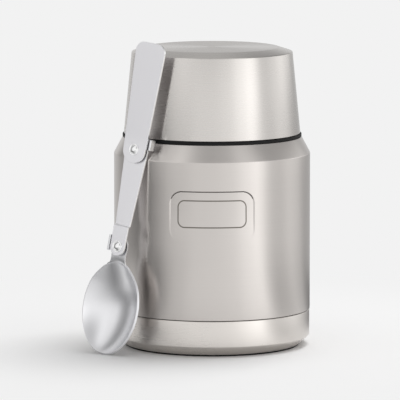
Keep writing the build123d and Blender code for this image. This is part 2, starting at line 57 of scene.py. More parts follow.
NOISE_HIGH = 0.7
QUARTER_TURN = 0.25         # as a shader counts turns

Piece = bpy.types.Object
Face = bpy.types.MeshPolygon
Material = bpy.types.Material
Node = bpy.types.Node
Socket = bpy.types.NodeSocket
Corner = tuple[float, float, float]
Outline = list[tuple[float, float]]
Sectors = tuple[tuple[float, int], ...]
Span = tuple[float, float]
Test = Callable[[Vector], bool]

log = logging.getLogger("food_jar")


class Domain(Enum):
    """What a pick selects."""

    VERTICES = "VERT"
    EDGES = "EDGE"


class Grain(Enum):
    """How the marks of polishing run over a metal."""

    TURNED = "turned"         # rings about the jar's axis
    LENGTHWISE = "lengthwise" # lines along the spoon


# ------------------------------------------------------------------ working in edit mode
def select_only(piece: Piece) -> None:
    """Makes a piece the only selected and the active one.

    Args:
        piece: the mesh object.
    """
    bpy.ops.object.select_all(action="DESELECT")
    piece.select_set(True)
    bpy.context.view_layer.objects.active = piece


def name_active(name: str) -> Piece:
    """Names the active object and its mesh.

    Args:
        name: for both.

    Returns:
        The active object.
    """
    piece = bpy.context.view_layer.objects.active
    piece.name = name
    piece.data.name = name
    return piece


def start(name: str, primitive: Callable[..., Any], **settings: Any) -> Piece:
    """Starts a piece from a primitive, whose place, turn and scale go into its mesh.

    Args:
        name: of the new piece.
        primitive: the operator that adds it.
        settings: the operator's own.

    Returns:
        The new piece.
    """
    bpy.ops.object.select_all(action="DESELECT")
    primitive(**settings)
    bpy.ops.object.transform_apply(location=True, rotation=True, scale=True)
    return name_active(name)


@contextmanager
def editing(piece: Piece) -> Iterator[None]:
    """Holds a piece in edit mode, where all of it is selected at first.

    Args:
        piece: the mesh object.

    Yields:
        Nothing, once the piece can be edited.
    """
    select_only(piece)
    bpy.ops.object.mode_set(mode="EDIT")
    bpy.ops.mesh.select_mode(type=Domain.VERTICES.value)
    bpy.ops.mesh.select_all(action="SELECT")
    yield
    bpy.ops.object.mode_set(mode="OBJECT")


def pick(piece: Piece, test: Test, domain: Domain = Domain.VERTICES) -> None:
    """Selects, in edit mode, what lies wholly where a test on a place says yes.

    Args:
        piece: the mesh object that is being edited.
        test: says whether a vertex's place, in millimetres, is wanted.
        domain: whether vertices or edges are selected.
    """
    bpy.ops.mesh.select_mode(type=domain.value)
    bpy.ops.mesh.select_all(action="DESELECT")
    bpy.ops.object.mode_set(mode="OBJECT")
    wanted = [test(vertex.co / MM) for vertex in piece.data.vertices]
    for vertex in piece.data.vertices:
        vertex.select = domain is Domain.VERTICES and wanted[vertex.index]
    for part in (*piece.data.edges, *piece.data.polygons):
        part.select = all(wanted[i] for i in part.vertices)
    bpy.ops.object.mode_set(mode="EDIT")


def apply_modifier(piece: Piece, kind: str, **settings: Any) -> None:
    """Adds a modifier with its settings and applies it at once.

    Args:
        piece: the mesh object.
        kind: the modifier's type name.
        settings: the modifier's own properties.
    """
    select_only(piece)
    modifier = piece.modifiers.new(kind.title(), kind)
    for key, value in settings.items():
        setattr(modifier, key, value)
    bpy.ops.object.modifier_apply(modifier=modifier.name)


def smooth_turned(piece: Piece) -> None:
    """Shades a piece smooth but for its sharp rings and bends."""
    select_only(piece)
    bpy.ops.object.shade_smooth_by_angle(angle=math.radians(SHARP_BEND))


def bevel(piece: Piece, width: float, segments: int, angle: float) -> None:
    """Rounds a piece's sharp edges.

    Args:
        piece: the mesh object.
        width: of the rounding, in millimetres.
        segments: faces across the rounding.
        angle: edges that turn more than this, in degrees, are rounded.
    """
    apply_modifier(
        piece, "BEVEL", width=width * MM, segments=segments, limit_method="ANGLE",
        angle_limit=math.radians(angle),
    )


def soften_edges(piece: Piece, width: float, segments: int = 3) -> None:
    """Rounds a piece's sharp edges and shades it so that its flats stay flat.

    Args:
        piece: the mesh object.
        width: of the rounding, in millimetres.
        segments: faces across the rounding.
    """
    bevel(piece, width, segments, angle=50)
    smooth_turned(piece)
    apply_modifier(piece, "WEIGHTED_NORMAL", keep_sharp=True, weight=80)


def outward_faces(piece: Piece) -> None:
    """Joins doubled vertices and turns every face outwards.

    Args:
        piece: the mesh object.
    """
    with editing(piece):
        bpy.ops.mesh.remove_doubles(threshold=SAME_PLACE)
        bpy.ops.mesh.normals_make_consistent(inside=False)


def lathe(name: str, outline: Outline, sectors: Sectors) -> Piece:
    """Spins an outline about the vertical axis, starting from the back.

    Args:
        name: of the new piece.
        outline: (radius, height) places in millimetres; its last place joins its first
            unless both are on the axis.
        sectors: angle in degrees and number of steps of each stretch of the spin.

    Returns:
        The turned piece, closed and with its faces outwards.
    """
    piece = start(name, bpy.ops.mesh.primitive_plane_add, size=MM)
    on_axis = outline[0][0] == 0 and outline[-1][0] == 0
    places = outline if on_axis else outline + outline[:1]
    with editing(piece):
        bpy.ops.mesh.merge(type="CENTER")
        bpy.ops.transform.translate(value=(0, places[0][0] * MM, places[0][1] * MM))
        for (radius, height), (next_radius, next_height) in zip(places, places[1:]):
            move = (0, (next_radius - radius) * MM, (next_height - height) * MM)
            bpy.ops.mesh.extrude_vertices_move(TRANSFORM_OT_translate={"value": move})
        bpy.ops.mesh.select_all(action="SELECT")
        for angle, steps in sectors:
            bpy.ops.mesh.spin(steps=steps, angle=math.radians(angle), center=(0, 0, 0), axis=(0, 0, 1))
    outward_faces(piece)
    return piece


def round_ring(piece: Piece, radius: float, height: float, width: float, segments: int = 4) -> None:
    """Bevels the ring of edges at one radius and height of a turned piece.

    Args:
        piece: the turned mesh object.
        radius: of the ring, in millimetres.
        height: of the ring, in millimetres.
        width: how far the rounding reaches from the edge, in millimetres.
        segments: faces across the rounding.
    """
    close = SAME_PLACE / MM

    def on_ring(place: Vector) -> bool:
        """Whether a place is on the ring."""
        return abs(place.z - height) < close and abs(place.xy.length - radius) < close

    with editing(piece):
        pick(piece, on_ring, Domain.EDGES)
        bpy.ops.mesh.bevel(offset=width * MM, segments=segments, affect="EDGES")


def join(pieces: list[Piece], name: str) -> Piece:
    """Joins several objects into one.

    Args:
        pieces: the mesh objects.
        name: of the joined piece.

    Returns:
        The joined piece.
    """
    select_only(pieces[0])
    for piece in pieces[1:]:
        piece.select_set(True)
    bpy.ops.object.join()
    return name_active(name)


def mark_second(piece: Piece, test: Callable[[Face], bool]) -> None:
    """Marks faces for the piece's second finish.

    Args:
        piece: the mesh object.
        test: says whether a face has the second finish.
    """
    while len(piece.data.materials) < 2:
        piece.data.materials.append(None)
    for face in piece.data.polygons:
        if test(face):
            face.material_index = 1


# ------------------------------------------------------------------ materials
def linear(colour: str, share: float = 1.0) -> tuple[float, ...]:
    """Turns an sRGB hex colour to linear light.

    Args:
        colour: such as "C8C4C1".
        share: how much of its light is kept, more than 1 for a brighter colour.

    Returns:
        Linear red, green, blue and alpha, none of them over 1.
    """
    channels = [int(colour[i:i + 2], 16) / 255 for i in (0, 2, 4)]
    straight = [c / 12.92 if c <= 0.04045 else ((c + 0.055) / 1.055) ** 2.4 for c in channels]
    return (*(min(1.0, c * share) for c in straight), 1.0)


class Tree:
    """The node tree of a material or the world, and the one way to add a node to it."""

    def __init__(self, owner: Union[Material, bpy.types.World]) -> None:
        """Empties the owner's tree.

        Args:
            owner: a material or the world.
        """
        owner.use_nodes = True
        self.tree = owner.node_tree
        self.tree.nodes.clear()

    def add(self, kind: str, inputs: Optional[dict[Any, Any]] = None) -> Node:
        """Adds a node with its settings and links.

        Args:
            kind: the node's type name, without its ShaderNode prefix.
            inputs: the node's properties by name and its inputs by name or number. A
                socket is linked, and so is the first output of a node.

        Returns:
            The new node.
        """
        node = self.tree.nodes.new("ShaderNode" + kind)
        for key, value in (inputs or {}).items():
            source = value.outputs[0] if isinstance(value, Node) else value
            if isinstance(source, Socket):
                self.tree.links.new(source, node.inputs[key])
            elif isinstance(key, int) or key in node.inputs:
                node.inputs[key].default_value = value
            else:
                setattr(node, key, value)
        return node


def build_material(name: str, shader: Callable[[Tree, Socket], Node]) -> Material:
    """Builds a material.

    Args:
        name: of the material.
        shader: adds the nodes, given the tree and the object's own coordinates, and
            returns the last one.

    Returns:
        The new material.
    """
    material = bpy.data.materials.new(name)
    tree = Tree(material)
    place = tree.add("TexCoord").outputs["Object"]
    tree.add("OutputMaterial", {0: shader(tree, place)})
    return material


@dataclass(frozen=True)
class EtchedFrame:
    """A rounded rectangle etched as a thin line on the front wall, in millimetres."""

    width: float = 36.5
    height: float = 14.0
    middle: float = 75.6
    corner: float = 3.5
    line: float = 0.65
    line_solid: float = 0.3      # shares of the line's width to each side of its middle
    line_end: float = 0.65       # where it starts to fade and where it is gone
    wall_radius: float = 52.0
    tint: str = "7B766F"
    roughness: float = 0.25      # added to the wall's

    def mask(self, tree: Tree, place: Socket) -> Node:
        """Adds the nodes of the line's mask.

        Args:
            tree: the material's node tree.
            place: Object coordinates.

        Returns:
            A node that is 1 on the line and 0 elsewhere.
        """
        split = tree.add("SeparateXYZ", {0: place}).outputs
        front = tree.add("Math", {"operation": "MULTIPLY", 0: split["Y"], 1: -1.0})
        around = tree.add("Math", {"operation": "ARCTAN2", 0: split["X"], 1: front})
        arc = tree.add("Math", {"operation": "MULTIPLY", 0: around, 1: self.wall_radius * MM})
        rise = tree.add("Math", {"operation": "SUBTRACT", 0: split["Z"], 1: self.middle * MM})
        past = []
        for value, size in ((arc, self.width), (rise, self.height)):
            reach = tree.add("Math", {"operation": "ABSOLUTE", 0: value})
            straight = (size / 2 - self.corner) * MM
            past.append(tree.add("Math", {"operation": "SUBTRACT", 0: reach, 1: straight}))
        far = [tree.add("Math", {"operation": "MAXIMUM", 0: value, 1: 0.0}) for value in past]
        corner_way = tree.add("CombineXYZ", {"X": far[0], "Y": far[1]})
        outside = tree.add("VectorMath", {"operation": "LENGTH", 0: corner_way}).outputs["Value"]
        larger = tree.add("Math", {"operation": "MAXIMUM", 0: past[0], 1: past[1]})
        inside = tree.add("Math", {"operation": "MINIMUM", 0: larger, 1: 0.0})
        distance = tree.add("Math", {"operation": "ADD", 0: outside, 1: inside})
        from_line = tree.add("Math", {"operation": "SUBTRACT", 0: distance, 1: self.corner * MM})
        off_line = tree.add("Math", {"operation": "ABSOLUTE", 0: from_line})
        line = tree.add("MapRange", {
            "Value": off_line, "From Min": self.line * MM * self.line_solid,
            "From Max": self.line * MM * self.line_end, "To Min": 1.0, "To Max": 0.0,
        })
        on_front = tree.add("Math", {"operation": "GREATER_THAN", 0: front, 1: 0.0})
        return tree.add("Math", {"operation": "MULTIPLY", 0: line, 1: on_front})


@dataclass(frozen=True)
class Finish:
    """What steels and polymers share: a tint and a roughness that both vary a little."""

    name: str
    tint: str
    roughness: float
    colour_change: float = 0.12
    roughness_change: float = 0.1

    def tone(self, tree: Tree, noise: Node) -> Node:
        """Adds the node of the tint, darker and lighter with a noise.

        Args:
            tree: the material's node tree.
            noise: the noise's node.

        Returns:
            The node with the colour.
        """
        return tree.add("MixRGB", {
            "Fac": noise, "Color1": linear(self.tint, 1 - self.colour_change),
            "Color2": linear(self.tint, 1 + self.colour_change),
        })

    def rough(self, tree: Tree, noise: Node) -> Node:
        """Adds the node of the roughness, less and more with a noise.

        Args:
            tree: the material's node tree.
            noise: the noise's node.

        Returns:
            The node with the roughness.
        """
        return tree.add("MapRange", {
            "Value": noise, "From Min": NOISE_LOW, "From Max": NOISE_HIGH,
            "To Min": self.roughness * (1 - self.roughness_change),
            "To Max": min(1.0, self.roughness * (1 + self.roughness_change)),
        })


@dataclass(frozen=True)
class BrushedSteel(Finish):
    """Stainless steel sheet, polished with fine abrasive so that it shines softly.

    The grain is far finer than a picture of the whole jar can show, so its lines are
    drawn about half a millimetre apart.
    """

    colour_change: float = 0.025
    roughness_change: float = 0.03
    grain: Grain = Grain.TURNED
    grain_spacing: float = 0.55      # millimetres between polishing lines
    grain_length: float = 60.0       # millimetres along them
    anisotropy: float = 0.7
    bump: float = 0.0012
    relief: float = 0.35             # how strongly the lines turn the light
    patch_scale: float = 28.0        # soft patches of more and less polish
    patch_change: float = 0.02
    etched: Optional[EtchedFrame] = None
    turn: Optional[Matrix] = None    # from the jar's axes to the spoon's

    def grain_place(self, tree: Tree, place: Socket) -> Node:
        """Squeezes coordinates so that noise on them makes polishing lines.

        Args:
            tree: the material's node tree.
            place: Object coordinates.

        Returns:
            The node with the squeezed coordinates.
        """
        across, along = 1 / (self.grain_spacing * MM), 1 / (self.grain_length * MM)
        if self.grain is Grain.LENGTHWISE:
            lines = tree.add("Mapping", {"Rotation": self.turn.to_euler(), "Vector": place})
            squeeze = (across, along, across)
        else:
            split = tree.add("SeparateXYZ", {0: place}).outputs
            flat = tree.add("VectorMath", {"operation": "MULTIPLY", 0: place, 1: (1.0, 1.0, 0.0)})
            radius = tree.add("VectorMath", {"operation": "LENGTH", 0: flat}).outputs["Value"]
            depth = tree.add("Math", {"operation": "ADD", 0: split["Z"], 1: radius})
            lines = tree.add("CombineXYZ", {"X": split["X"], "Y": split["Y"], "Z": depth})
            squeeze = (along, along, across)
        return tree.add("VectorMath", {"operation": "MULTIPLY", 0: lines, 1: squeeze})

    def tangent(self, tree: Tree, place: Socket) -> Node:
        """Finds the direction of the polishing lines at each place.

        Args:
            tree: the material's node tree.
            place: Object coordinates.

        Returns:
            The node with the direction, as a world vector.
        """
        if self.grain is Grain.LENGTHWISE:
            upward = self.turn.inverted() @ Vector((0, 1, 0))
            line = tree.add("CombineXYZ", dict(zip("XYZ", upward)))
        else:
            line = tree.add(
                "VectorMath", {"operation": "CROSS_PRODUCT", 0: (0.0, 0.0, 1.0), 1: place}
            )
        in_world = tree.add("VectorTransform", {
            "vector_type": "VECTOR", "convert_from": "OBJECT", "convert_to": "WORLD", "Vector": line,
        })
        return tree.add("VectorMath", {"operation": "NORMALIZE", 0: in_world})

    def shader(self, tree: Tree, place: Socket) -> Node:
        """Adds the nodes of the steel.

        Args:
            tree: the material's node tree.
            place: Object coordinates.

        Returns:
            The shader.
        """
        lines = tree.add("TexNoise", {
            "Vector": self.grain_place(tree, place), "Scale": 1.0, "Detail": 3.0, "Roughness": 0.6,
        })
        patches = tree.add("TexNoise", {"Vector": place, "Scale": self.patch_scale, "Detail": 2.0})
        tone = self.tone(tree, lines)
        patchy = tree.add("MapRange", {
            "Value": patches, "To Min": -self.patch_change, "To Max": self.patch_change,
        })
        rough = tree.add("Math", {"operation": "ADD", 0: self.rough(tree, lines), 1: patchy})
        if self.etched is not None:
            mask = self.etched.mask(tree, place)
            etch = linear(self.etched.tint)
            tone = tree.add("MixRGB", {"Fac": mask, "Color1": tone, "Color2": etch})
            rough = tree.add(
                "Math", {"operation": "MULTIPLY_ADD", 0: mask, 1: self.etched.roughness, 2: rough}
            )
        bump = tree.add(
            "Bump", {"Height": lines, "Strength": self.relief, "Distance": self.bump * MM}
        )
        return tree.add("BsdfPrincipled", {
            "Metallic": 1.0, "Anisotropic": self.anisotropy, "Anisotropic Rotation": QUARTER_TURN,
            "Base Color": tone, "Roughness": rough, "Normal": bump,
            "Tangent": self.tangent(tree, place),
        })


@dataclass(frozen=True)
class Moulded(Finish):
    """A moulded polymer, rubber or foam: its colour, its gloss and its fine skin."""

    skin: float = 0.6                # millimetres between the bumps of its skin
    skin_depth: float = 0.02
    relief: float = 0.5              # how strongly the skin turns the light
    flow_scale: float = 40.0         # soft changes of colour, left by the flow into the mould
    ior: float = 1.50
    specular: float = 0.5

    def shader(self, tree: Tree, place: Socket) -> Node:
        """Adds the nodes of the polymer.

        Args:
            tree: the material's node tree.
            place: Object coordinates.

        Returns:
            The shader.
        """
        grains = tree.add(
            "TexNoise", {"Vector": place, "Scale": 1 / (self.skin * MM), "Detail": 2.0}
        )
        flow = tree.add("TexNoise", {"Vector": place, "Scale": self.flow_scale, "Detail": 1.0})
        bump = tree.add(
            "Bump", {"Height": grains, "Strength": self.relief, "Distance": self.skin_depth * MM}
        )
        return tree.add("BsdfPrincipled", {
            "IOR": self.ior, "Specular IOR Level": self.specular,
            "Base Color": self.tone(tree, flow), "Roughness": self.rough(tree, grains),
            "Normal": bump,
        })


@dataclass(frozen=True)
class CrinkledFoil:
    """Aluminium foil wrapped by hand: bright, with soft creases a few millimetres apart, darkened with
    painted shade.
    """

    name: str
    tint: str
    roughness: float = 0.22
    crease: float = 7.0
    crease_depth: float = 0.2
    crease_painted_shade: float = 0.8        # share of the tint kept in a crease: painted shade
    relief: float = 0.6              # how strongly the creases turn the light

    def shader(self, tree: Tree, place: Socket) -> Node:
        """Adds the nodes of the foil.

        Args:
            tree: the material's node tree.
            place: Object coordinates.

        Returns:
            The shader.
        """
        creases = tree.add("TexVoronoi", {
            "feature": "DISTANCE_TO_EDGE", "Scale": 1 / (self.crease * MM), "Vector": place,
        }).outputs["Distance"]
        # painted shade: the foil's colour is darker along each crease
        tone = tree.add("MixRGB", {
            "Fac": creases, "Color1": linear(self.tint, self.crease_painted_shade),
            "Color2": linear(self.tint),
        })
        bump = tree.add("Bump", {
            "Height": creases, "Strength": self.relief, "Distance": self.crease_depth * MM,
        })
        return tree.add("BsdfPrincipled", {
            "Metallic": 1.0, "Roughness": self.roughness, "Base Color": tone, "Normal": bump,
        })


# ------------------------------------------------------------------ sub-assemblies
def settle(piece: Piece, body: str, slot: str, *materials: Material,
           node: Optional[str] = None) -> None:
    """Gives a finished piece its materials and its body.

    Args:
        piece: the finished mesh object, with its place in its mesh.
        body: the rigid body that it rides on.
        slot: the material slot that its finish stands for; not used.
        materials: its finish, and that of the faces marked as second, if it has any.
        node: the solid that it stands for, if it stands for one.
    """
    marks = [face.material_index for face in piece.data.polygons]
    piece.data.materials.clear()
    for material in materials:
        piece.data.materials.append(material)
    for face, mark in zip(piece.data.polygons, marks):
        face.material_index = mark
    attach(piece, body)
    if node is not None:
        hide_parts(node)
    log.info("piece %s on %s, %d faces", piece.name, body, len(piece.data.polygons))


@dataclass
class Finishes:
    """Every finish of the jar and its spoon, each built once."""

    spoon_turn: Matrix
    built: dict[str, Material] = field(default_factory=dict)

    def build(self) -> None:
        """Builds all the materials."""
        lengthwise = {"grain": Grain.LENGTHWISE, "turn": self.spoon_turn}
        tumbled = lengthwise | {
            "grain_spacing": 0.35, "grain_length": 18.0, "colour_change": 0.015, "bump": 0.001,
        }
        coined = lengthwise | {"anisotropy": 0.0, "bump": 0.002}
        finishes = {
            # satin 304 stainless steel, belt polished round and round: a warm soft grey
            "body": BrushedSteel("satin_steel_body", "D0CBC7", 0.29, etched=EtchedFrame()),
            "base": BrushedSteel("satin_steel_base", "DFDAD5", 0.28),
            "cup": BrushedSteel(
                "satin_steel_cup", "D7D3CF", 0.27, colour_change=0.018, bump=0.0007,
            ),
            # electropolished inside of the flask: brighter and smoother
            "inner": BrushedSteel("electropolished_steel", "CFCDCB", 0.20, anisotropy=0.3),
            # tumbled and polished spoon steel: a cooler grey, with very faint lines
            "spoon": BrushedSteel("tumbled_spoon_steel", "F8F7FA", 0.34, anisotropy=0.2, **tumbled),
            "bowl": BrushedSteel("polished_bowl_steel", "EFEFF1", 0.30, anisotropy=0.15, **tumbled),
            # coined and buffed edges and rivet heads: the brightest steel
            "edge": BrushedSteel("buffed_edge_steel", "FDFDFD", 0.60, colour_change=0.01, **coined),
            "side": BrushedSteel("coined_side_steel", "FDFDFD", 0.28, colour_change=0.01, **coined),
            "rivet": BrushedSteel(
                "polished_rivet_steel", "F6F6F6", 0.17, colour_change=0.02, **coined
            ),
            # dull dark steel: painted shade in the groove between wall and base and under the panel's
            # upper edge
            "painted_shade": BrushedSteel(
                "painted_shade_steel", "5A5653", 0.6, anisotropy=0.0, colour_change=0.1,
            ),
            # aluminium foil and zirconium pellet inside the vacuum
            "foil": CrinkledFoil("aluminium_foil", "E2E3E4"),
            "pellet": Moulded("sintered_getter", "8C8A86", 0.7, skin=0.3, skin_depth=0.05),
            # glass-filled polypropylene: nearly black, with a fine moulded skin
            "plastic": Moulded(
                "black_polypropylene", "0D0D0E", 0.6, colour_change=0.2, specular=0.25
            ),
            "liner": Moulded("black_polypropylene_liner", "1C1C1F", 0.36, colour_change=0.2),
            # silicone rubber of the seals: a soft grey with little gloss
            "seal": Moulded("grey_silicone", "6E7174", 0.55, skin=1.2, ior=1.43),
            # rubber of the foot: black and dull; foam: pale, with open pores
            "pad": Moulded("black_rubber", "121212", 0.8, skin=0.5, skin_depth=0.05),
            "foam": Moulded("rigid_foam", "D9D5C9", 0.95, skin=0.5, skin_depth=0.15),
        }
        for key, finish in finishes.items():
            self.built[key] = build_material(finish.name, finish.shader)

    def __getitem__(self, key: str) -> Material:
        """The material with a short name."""
        return self.built[key]

    def dress(self, **nodes: str) -> None:
        """Gives carried-over nodes their finishes.

        Args:
            nodes: the short name of each node's finish.
        """
        for name, key in nodes.items():
            materials = frame["nodes"][name].data.materials
            materials.clear()
            materials.append(self.built[key])
            log.info("node %s dressed in %s", name, self.built[key].name)


def gentle(value: float) -> float:
    """A share kept between 0 and 1, with a gentle start and end."""
    share = min(1.0, max(0.0, value))
    return share * share * (3 - 2 * share)


@dataclass
class PressedPanel:
    """The rounded panel pressed into the front wall, which fades out downwards."""

    width: float = 46.0
    height: float = 27.0
    corner: float = 7.0
    top: float = 87.6
    depth: float = 0.5
    slope: float = 0.6           # width of its sloping edge
    fade: float = 17.0           # height over which it runs out at the bottom
    wall_play: float = 0.05      # how far off the wall's radius a place may be

    def share(self, place: Vector, wall_radius: float) -> float:
        """How much of the full depth the wall is pressed in at a place.

        Args:
            place: on the wall, in millimetres.
            wall_radius: of the wall, in millimetres.

        Returns:
            0 outside the panel, up to 1 inside.
        """
        if place.y > 0 or abs(place.xy.length - wall_radius) > self.wall_play:
            return 0.0
        arc = abs(math.atan2(place.x, -place.y)) * wall_radius
        middle = self.top - self.height / 2
        across = arc - self.width / 2 + self.corner
        along = abs(place.z - middle) - self.height / 2 + self.corner
        outside = math.hypot(max(across, 0), max(along, 0))
        distance = outside + min(max(across, along), 0) - self.corner
        above_end = place.z - self.top + self.height
        return gentle(-distance / self.slope) * gentle(above_end / self.fade)


@dataclass
class ThreadBands:
    """The short bands of a multi-start thread, in millimetres and degrees."""

    radius: float
    start: float
    height: float = 1.2
    root: float = 2.0
    crest: float = 1.2
    lead: float = 16.0
    span: float = 140.0
    starts: int = 4
    sink: float = 0.3
    steps: int = 40
    rounding: float = 0.25

    def build(self, name: str) -> Piece:
        """Models one band, copies it round and joins the copies.

        Args:
            name: of the joined piece.

        Returns:
            The piece, closed, with its edges rounded.
        """
        middle = Vector((self.radius + (self.height - self.sink) / 2, 0, self.start)) * MM
        upright = (math.radians(90), 0, 0)
        band = start(
            name, bpy.ops.mesh.primitive_plane_add, size=MM, location=middle, rotation=upright
        )
        with editing(band):
            bpy.ops.transform.resize(
                value=(self.height + self.sink, 1, self.root), center_override=middle
            )
            pick(band, lambda place: place.x > self.radius + self.height / 2)
            bpy.ops.transform.resize(value=(1, 1, self.crest / self.root), center_override=middle)
            bpy.ops.mesh.select_all(action="SELECT")
            bpy.ops.mesh.delete(type="ONLY_FACE")
        apply_modifier(
            band, "SCREW", axis="Z", angle=math.radians(self.span), steps=self.steps,
            screw_offset=self.lead * self.span / FULL_TURN * MM, use_smooth_shade=False,
        )
        with editing(band):
            bpy.ops.mesh.select_all(action="DESELECT")
            bpy.ops.mesh.select_mode(type=Domain.EDGES.value)
            bpy.ops.mesh.select_non_manifold()
            bpy.ops.mesh.edge_face_add()
        copies = [band]
        for index in range(1, self.starts):
            copy = band.copy()
            copy.data = band.data.copy()
            bpy.context.scene.collection.objects.link(copy)
            copy.data.transform(Matrix.Rotation(math.tau * index / self.starts, 4, "Z"))
            copies.append(copy)
        piece = join(copies, name)
        outward_faces(piece)
        soften_edges(piece, self.rounding, 2)
        return piece


@dataclass
class SteelBody:
    """Outer wall of the jar with its panel and neck, base cover, flask and vacuum pieces."""

    finishes: Finishes
    body: str = "jar"
    wall_radius: float = 52.0
    wall: float = 0.7
    seam: float = 19.6
    seam_rounding: float = 0.1
    crease: float = 102.6
    crease_rounding: float = 0.35
    shoulder_radius: float = 47.4
    shoulder_top: float = 111.2
    shoulder_rounding: float = 0.3
    neck_radius: float = 39.332
    neck_top: float = 124.0
    thread_rise: float = 3.9     # of the thread's start above the shoulder
    skirt_radius: float = 51.05
    skirt_bottom: float = 8.0
    base_radius: float = 51.8
    base_foot_radius: float = 46.5
    base_bottom: float = 0.8
    base_top: float = 19.2
    base_chamfer: float = 5.5
    base_top_rounding: float = 0.35
    base_rounding: float = 0.4
    pad_radius: float = 46.1
    pad_rounding: float = 0.3
    fine_row: float = 0.2        # height of a row of faces across the panel's top edge
    coarse_row: float = 0.6      # and further down, where it fades
    # angle and steps of each stretch of the wall, from the back: finest at the panel's sides
    sectors: Sectors = ((152, 88), (12, 54), (32, 36), (12, 54), (152, 88))
    base_sectors: Sectors = ((FULL_TURN, 240),)
    pad_sectors: Sectors = ((FULL_TURN, 120),)
    underside: float = -0.25     # a face whose normal points down more than this is one
    panel: PressedPanel = field(default_factory=PressedPanel)

    def panel_rows(self) -> Outline:
        """Places the wall's rows of faces across the panel.

        Returns:
            Radius and height of each row's edge, from the lowest up.
        """
        lowest = self.panel.top - self.panel.height
        change = self.panel.top - self.panel.corner - 2 * self.panel.slope
        coarse = math.ceil((change - lowest) / self.coarse_row)
        fine = math.ceil((self.panel.corner + 3 * self.panel.slope) / self.fine_row)
        heights = [change - self.coarse_row * (coarse - i) for i in range(coarse)]
        heights += [change + self.fine_row * i for i in range(fine + 1)]
        return [(self.wall_radius, height) for height in heights]

    def build_wall(self) -> Piece:
        """Turns the outer wall, rounds its rings and presses the panel in.

        Returns:
            The wall, with the faces of its painted shade marked.
        """
        inner = self.wall_radius - self.wall
        outline = [
            (self.skirt_radius - self.wall, self.skirt_bottom),
            (self.skirt_radius, self.skirt_bottom), (self.skirt_radius, self.seam),
            (self.wall_radius, self.seam), *self.panel_rows(), (self.wall_radius, self.crease),
            (self.shoulder_radius, self.shoulder_top), (self.neck_radius, self.shoulder_top),
            (self.neck_radius, self.neck_top), (self.neck_radius - self.wall, self.neck_top),
            (self.neck_radius - self.wall, self.shoulder_top - self.wall),
            (self.shoulder_radius - self.wall, self.shoulder_top - self.wall),
            (inner, self.crease - self.wall / 2), (inner, self.seam + self.wall),
            (self.skirt_radius - self.wall, self.seam + self.wall),
        ]
        wall = lathe("body_wall", outline, self.sectors)
        round_ring(wall, self.wall_radius, self.seam, self.seam_rounding, 2)
        round_ring(wall, self.wall_radius, self.crease, self.crease_rounding)
        round_ring(wall, self.shoulder_radius, self.shoulder_top, self.shoulder_rounding)
        group = wall.vertex_groups.new(name="pressed")
        for vertex in wall.data.vertices:
            share = self.panel.share(vertex.co / MM, self.wall_radius)
            if share > 0:
                group.add([vertex.index], share, "REPLACE")
        apply_modifier(
            wall, "DISPLACE", direction="NORMAL", mid_level=0.0, strength=-self.panel.depth * MM,
            vertex_group=group.name,
        )
        smooth_turned(wall)
        # painted shade: dark steel on the groove above the base and on the panel's downward-facing
        # upper edge
        mark_second(wall, self.takes_painted_shade)
        return wall

    def takes_painted_shade(self, face: Face) -> bool:
        """Whether a face takes the dark steel that paints shade on the wall.

        Args:
            face: of the outer wall.

        Returns:
            True in the groove above the base and under the panel's upper edge.
        """
        height, radius = face.center.z / MM, face.center.xy.length / MM
        in_groove = height < self.seam and radius > self.wall_radius - 2 * self.wall
        near_edge = self.panel.top - self.panel.corner < height < self.panel.top
        outside = radius > self.wall_radius - (self.wall + self.panel.depth) / 2
        return in_groove or (near_edge and outside and face.normal.z < self.underside)

    def build_base(self) -> Piece:
        """Turns the base cover.

        Returns:
            The cover, with its rings rounded.
        """
        inner = self.base_radius - self.wall
        outline = [
            (0, self.base_bottom), (self.base_foot_radius, self.base_bottom),
            (self.base_radius, self.base_chamfer), (self.base_radius, self.base_top),
            (inner, self.base_top), (inner, self.base_chamfer + self.wall / 2),
            (self.base_foot_radius - self.wall / 2, self.base_bottom + self.wall),
            (0, self.base_bottom + self.wall),
        ]
        base = lathe("base_cup", outline, self.base_sectors)
        round_ring(base, self.base_radius, self.base_top, self.base_top_rounding)
        round_ring(base, self.base_radius, self.base_chamfer, self.base_rounding)
        round_ring(base, self.base_foot_radius, self.base_bottom, self.base_rounding)
        smooth_turned(base)
        return base

    def build_pad(self) -> Piece:
        """Turns the soft pad whose edge shows under the base.

        Returns:
            The pad, with its lower edge rounded.
        """
        outline = [
            (0, 0), (self.pad_radius, 0), (self.pad_radius, self.base_bottom), (0, self.base_bottom),
        ]
        pad = lathe("foot_pad", outline, self.pad_sectors)
        round_ring(pad, self.pad_radius, 0, self.pad_rounding, 2)
        smooth_turned(pad)
        return pad

    def build(self) -> None:
        """Builds the new pieces and dresses the carried-over nodes."""
        body, painted_shade, base = (self.finishes[key] for key in ("body", "painted_shade", "base"))
        bands = ThreadBands(self.neck_radius, self.shoulder_top + self.thread_rise)
        settle(self.build_wall(), self.body, "body_steel", body, painted_shade, node="outer_shell")
        settle(bands.build("neck_thread"), self.body, "body_steel", base)
        settle(self.build_base(), self.body, "body_steel", base, node="base_cover")
        settle(self.build_pad(), self.body, "pad_rubber", self.finishes["pad"], node="base_pad")
        self.finishes.dress(
            inner_flask="inner", vacuum_end_disc="inner", heat_shield="foil",
            vacuum_seal="pellet", getter="pellet",
        )


@dataclass
class Stopper:
    """Screw stopper with its plug, foam and seal."""

    finishes: Finishes

    def build(self) -> None:
        """Dresses the stopper's nodes."""
        self.finishes.dress(
            stopper_body="plastic", plug_cap="plastic", plug_foam="foam", stopper_gasket="seal",
        )


